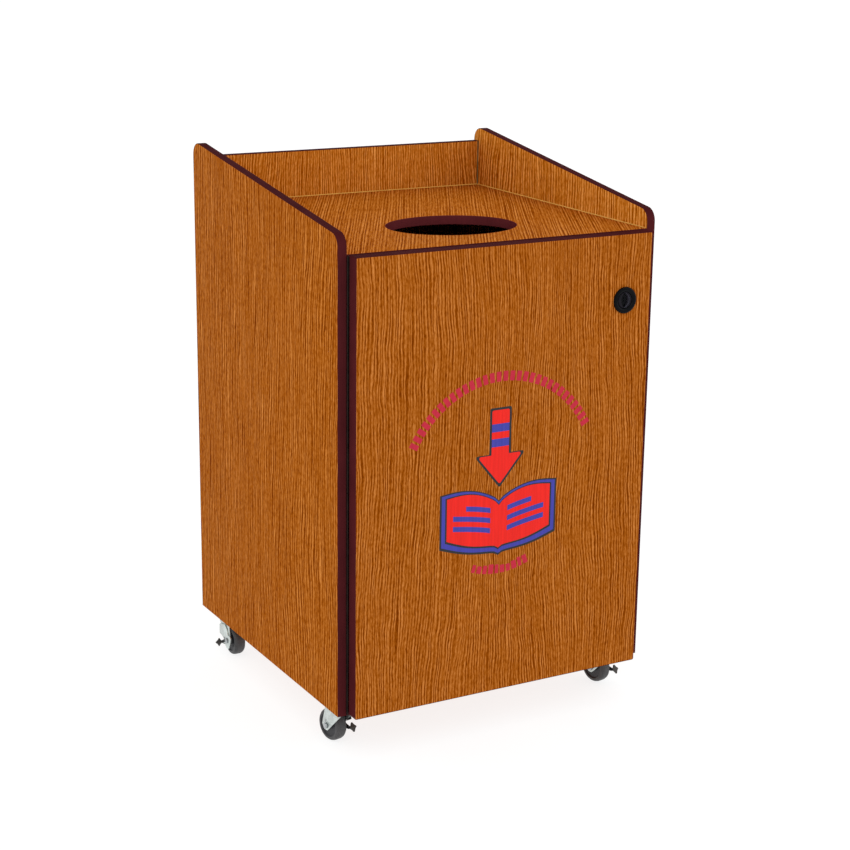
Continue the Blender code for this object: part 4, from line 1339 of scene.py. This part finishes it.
def shelf(a0, a1, r0, up, heights, widths, gap):
    """A row of spines along the arc from angle a0 to a1 (degrees)."""
    loops, ang, i = [], a0, 0
    while ang < a1:
        w = widths[(i * 5) % len(widths)]
        h = heights[(i * 7) % len(heights)]
        half = math.degrees(w / 2 / r0)
        loops += spine(r0, r0 + h, ang + half, w) if up else \
            spine(r0 - h, r0, ang + half, w)
        ang += 2 * half + math.degrees(gap / r0)
        i += 1
    return loops


done(decal("emblem_upper_spines",
           shelf(-63.5, 62.5, 181.0, True, (17, 14, 20, 16, 13, 18, 15),
                 (9.0, 7.0, 10.5, 8.0, 7.5), 3.6), CRIMSON, 1),
     "door", None)
done(decal("emblem_lower_spines",
           shelf(158.0, 200.0, 158.0, False, (16, 13, 17, 14, 15),
                 (9.0, 7.0, 10.0, 8.0), 3.6), CRIMSON, 1),
     "door", None)


def page(sgn, grow, drop=0.0, top=0.0):
    """One half of an open book: its spine at x 0, its page edge curved."""
    pts = []
    n = 14
    for k in range(n + 1):                      # lower edge, spine outwards
        u = k / n
        pts.append((sgn * (u * (104 + grow)),
                    -grow - drop + 26 * u ** 0.55 - 8 * math.sin(math.pi * u)))
    for k in range(n + 1):                      # upper edge, back to the spine
        u = 1 - k / n
        pts.append((sgn * (u * (104 + grow)),
                    88 + grow * 0.6 + top + 24 * u ** 0.55
                    + 9 * math.sin(math.pi * u) - 8))
    return pts


BX, BZ = -14.0, 262.0


def at_book(pts):
    q = [(BX + a, BZ + b) for a, b in pts]
    area = sum(q[i - 1][0] * q[i][1] - q[i][0] * q[i - 1][1]
               for i in range(len(q)))
    return q if area > 0 else q[::-1]


for sgn, tag in ((-1, "left"), (1, "right")):
    done(decal("emblem_cover_" + tag, [at_book(page(sgn, 11))], CHAR, 1),
         "door", None)
    done(decal("emblem_binding_" + tag, [at_book(page(sgn, 7.5))], BLUE, 2),
         "door", None)
    done(decal("emblem_page_line_" + tag, [at_book(page(sgn, 0.5))], CHAR, 3),
         "door", None)
    done(decal("emblem_page_" + tag, [at_book(page(sgn, -2.5))], RED, 4),
         "door", None)
    bars = []
    for kk, (z0, u0, u1) in enumerate(((22, 0.16, 0.86), (40, 0.16, 0.86),
                                       (58, 0.16, 0.62))):
        pts = []
        for k in range(9):
            u = u0 + (u1 - u0) * k / 8
            pts.append((sgn * u * 104, z0 + 24 * u ** 0.55))
        for k in range(9):
            u = u1 - (u1 - u0) * k / 8
            pts.append((sgn * u * 104, z0 + 9 + 24 * u ** 0.55))
        bars.append(at_book(pts))
    done(decal("emblem_stripes_" + tag, bars, BLUE, 5), "door", None)


def arrow(g):
    hw, sw = 44 + 1.5 * g, 17 + g
    top, neck, tip = 246 + g, 168 + g * 0.4, 116 - 1.6 * g
    pts = [(-sw, top), (-sw, neck), (-hw, neck), (0, tip), (hw, neck),
           (sw, neck), (sw, top)]
    return rounded(pts, [3, 1.5, 3, 3, 3, 1.5, 3], 4)


done(decal("emblem_arrow_line", [at_book(arrow(4.0))], CHAR, 2), "door",
     None)
done(decal("emblem_arrow", [at_book(arrow(0.0))], RED, 3), "door",
     None)
band = [[(-17, z), (17, z), (17, z + 14), (-17, z + 14)] for z in (182, 208)]
done(decal("emblem_arrow_stripes", [at_book(b) for b in band], BLUE, 4), "door",
     None)

# --------------------------------------------------------------------- stage
bm = bmesh.new()
bmesh.ops.create_grid(bm, x_segments=2, y_segments=2, size=60.0)
me = bpy.data.meshes.new("floor")
bm.to_mesh(me)
bm.free()
mf, tf, bf = start("pale_floor", (0.9, 0.9, 0.9, 1.0))
co, _, _, _ = obj_xyz(tf)
fn = noise(tf, co, 3.0, 3.0, 0.5)
tf.links.new(ramp(tf, fn, [(0.3, (0.22, 0.22, 0.22, 1)),
                           (0.7, (0.24, 0.24, 0.24, 1))]),
             bf.inputs["Base Color"])
bf.inputs["Emission Color"].default_value = (1.0, 1.0, 1.0, 1.0)
bf.inputs["Emission Strength"].default_value = 0.83
bf.inputs["Roughness"].default_value = 0.9
bf.inputs["Specular IOR Level"].default_value = 0.1
floor = made("floor", me, [mf])
floor.location.z = -0.0002

world = bpy.data.worlds.new("studio")
world.use_nodes = True
bg = world.node_tree.nodes["Background"]
bg.inputs["Color"].default_value = (1.0, 1.0, 1.0, 1.0)
bg.inputs["Strength"].default_value = 0.96
bpy.context.scene.world = world


def area(name, at, look, size, power, colour=(1, 1, 1)):
    d = bpy.data.lights.new(name, 'AREA')
    d.shape = 'RECTANGLE'
    d.size, d.size_y = size
    d.energy = power
    d.color = colour
    o = bpy.data.objects.new(name, d)
    o.location = at
    o.rotation_mode = 'QUATERNION'
    o.rotation_quaternion = (Vector(look) - Vector(at)).to_track_quat('-Z', 'Y')
    bpy.context.scene.collection.objects.link(o)
    return o


area("key", (-2.2, -3.0, 3.0), (0, 0, 0.5), (2.4, 2.4), 22.0)
area("fill", (3.2, -2.2, 2.2), (0, 0, 0.5), (2.6, 2.6), 10.0)
area("top", (0.3, 0.2, 3.6), (0, 0, 0.5), (2.4, 2.4), 8.0)

bpy.context.scene.view_settings.view_transform = 'Standard'
bpy.context.scene.view_settings.look = 'None'

# -------------------------------------------------------------------- camera
cam = bpy.data.cameras.new("camera")
cam.sensor_width = 36.0
cam.lens = 79.2317
cam.clip_end = 200.0
co_ = bpy.data.objects.new("camera", cam)
bpy.context.scene.collection.objects.link(co_)
ya, pi_, ro = math.radians(29.3491), math.radians(15.6558), math.radians(0.7408)
fwd = Vector((math.sin(ya) * math.cos(pi_), math.cos(ya) * math.cos(pi_),
              -math.sin(pi_)))
right = Vector((math.cos(ya), -math.sin(ya), 0))
up = right.cross(fwd)
r1 = right * math.cos(ro) + up * math.sin(ro)
u1 = -right * math.sin(ro) + up * math.cos(ro)
rot = Matrix((r1, u1, -fwd)).transposed().to_4x4()
co_.matrix_world = Matrix.Translation((-1.6027, -2.8724, 1.3998)) @ rot
bpy.context.scene.camera = co_
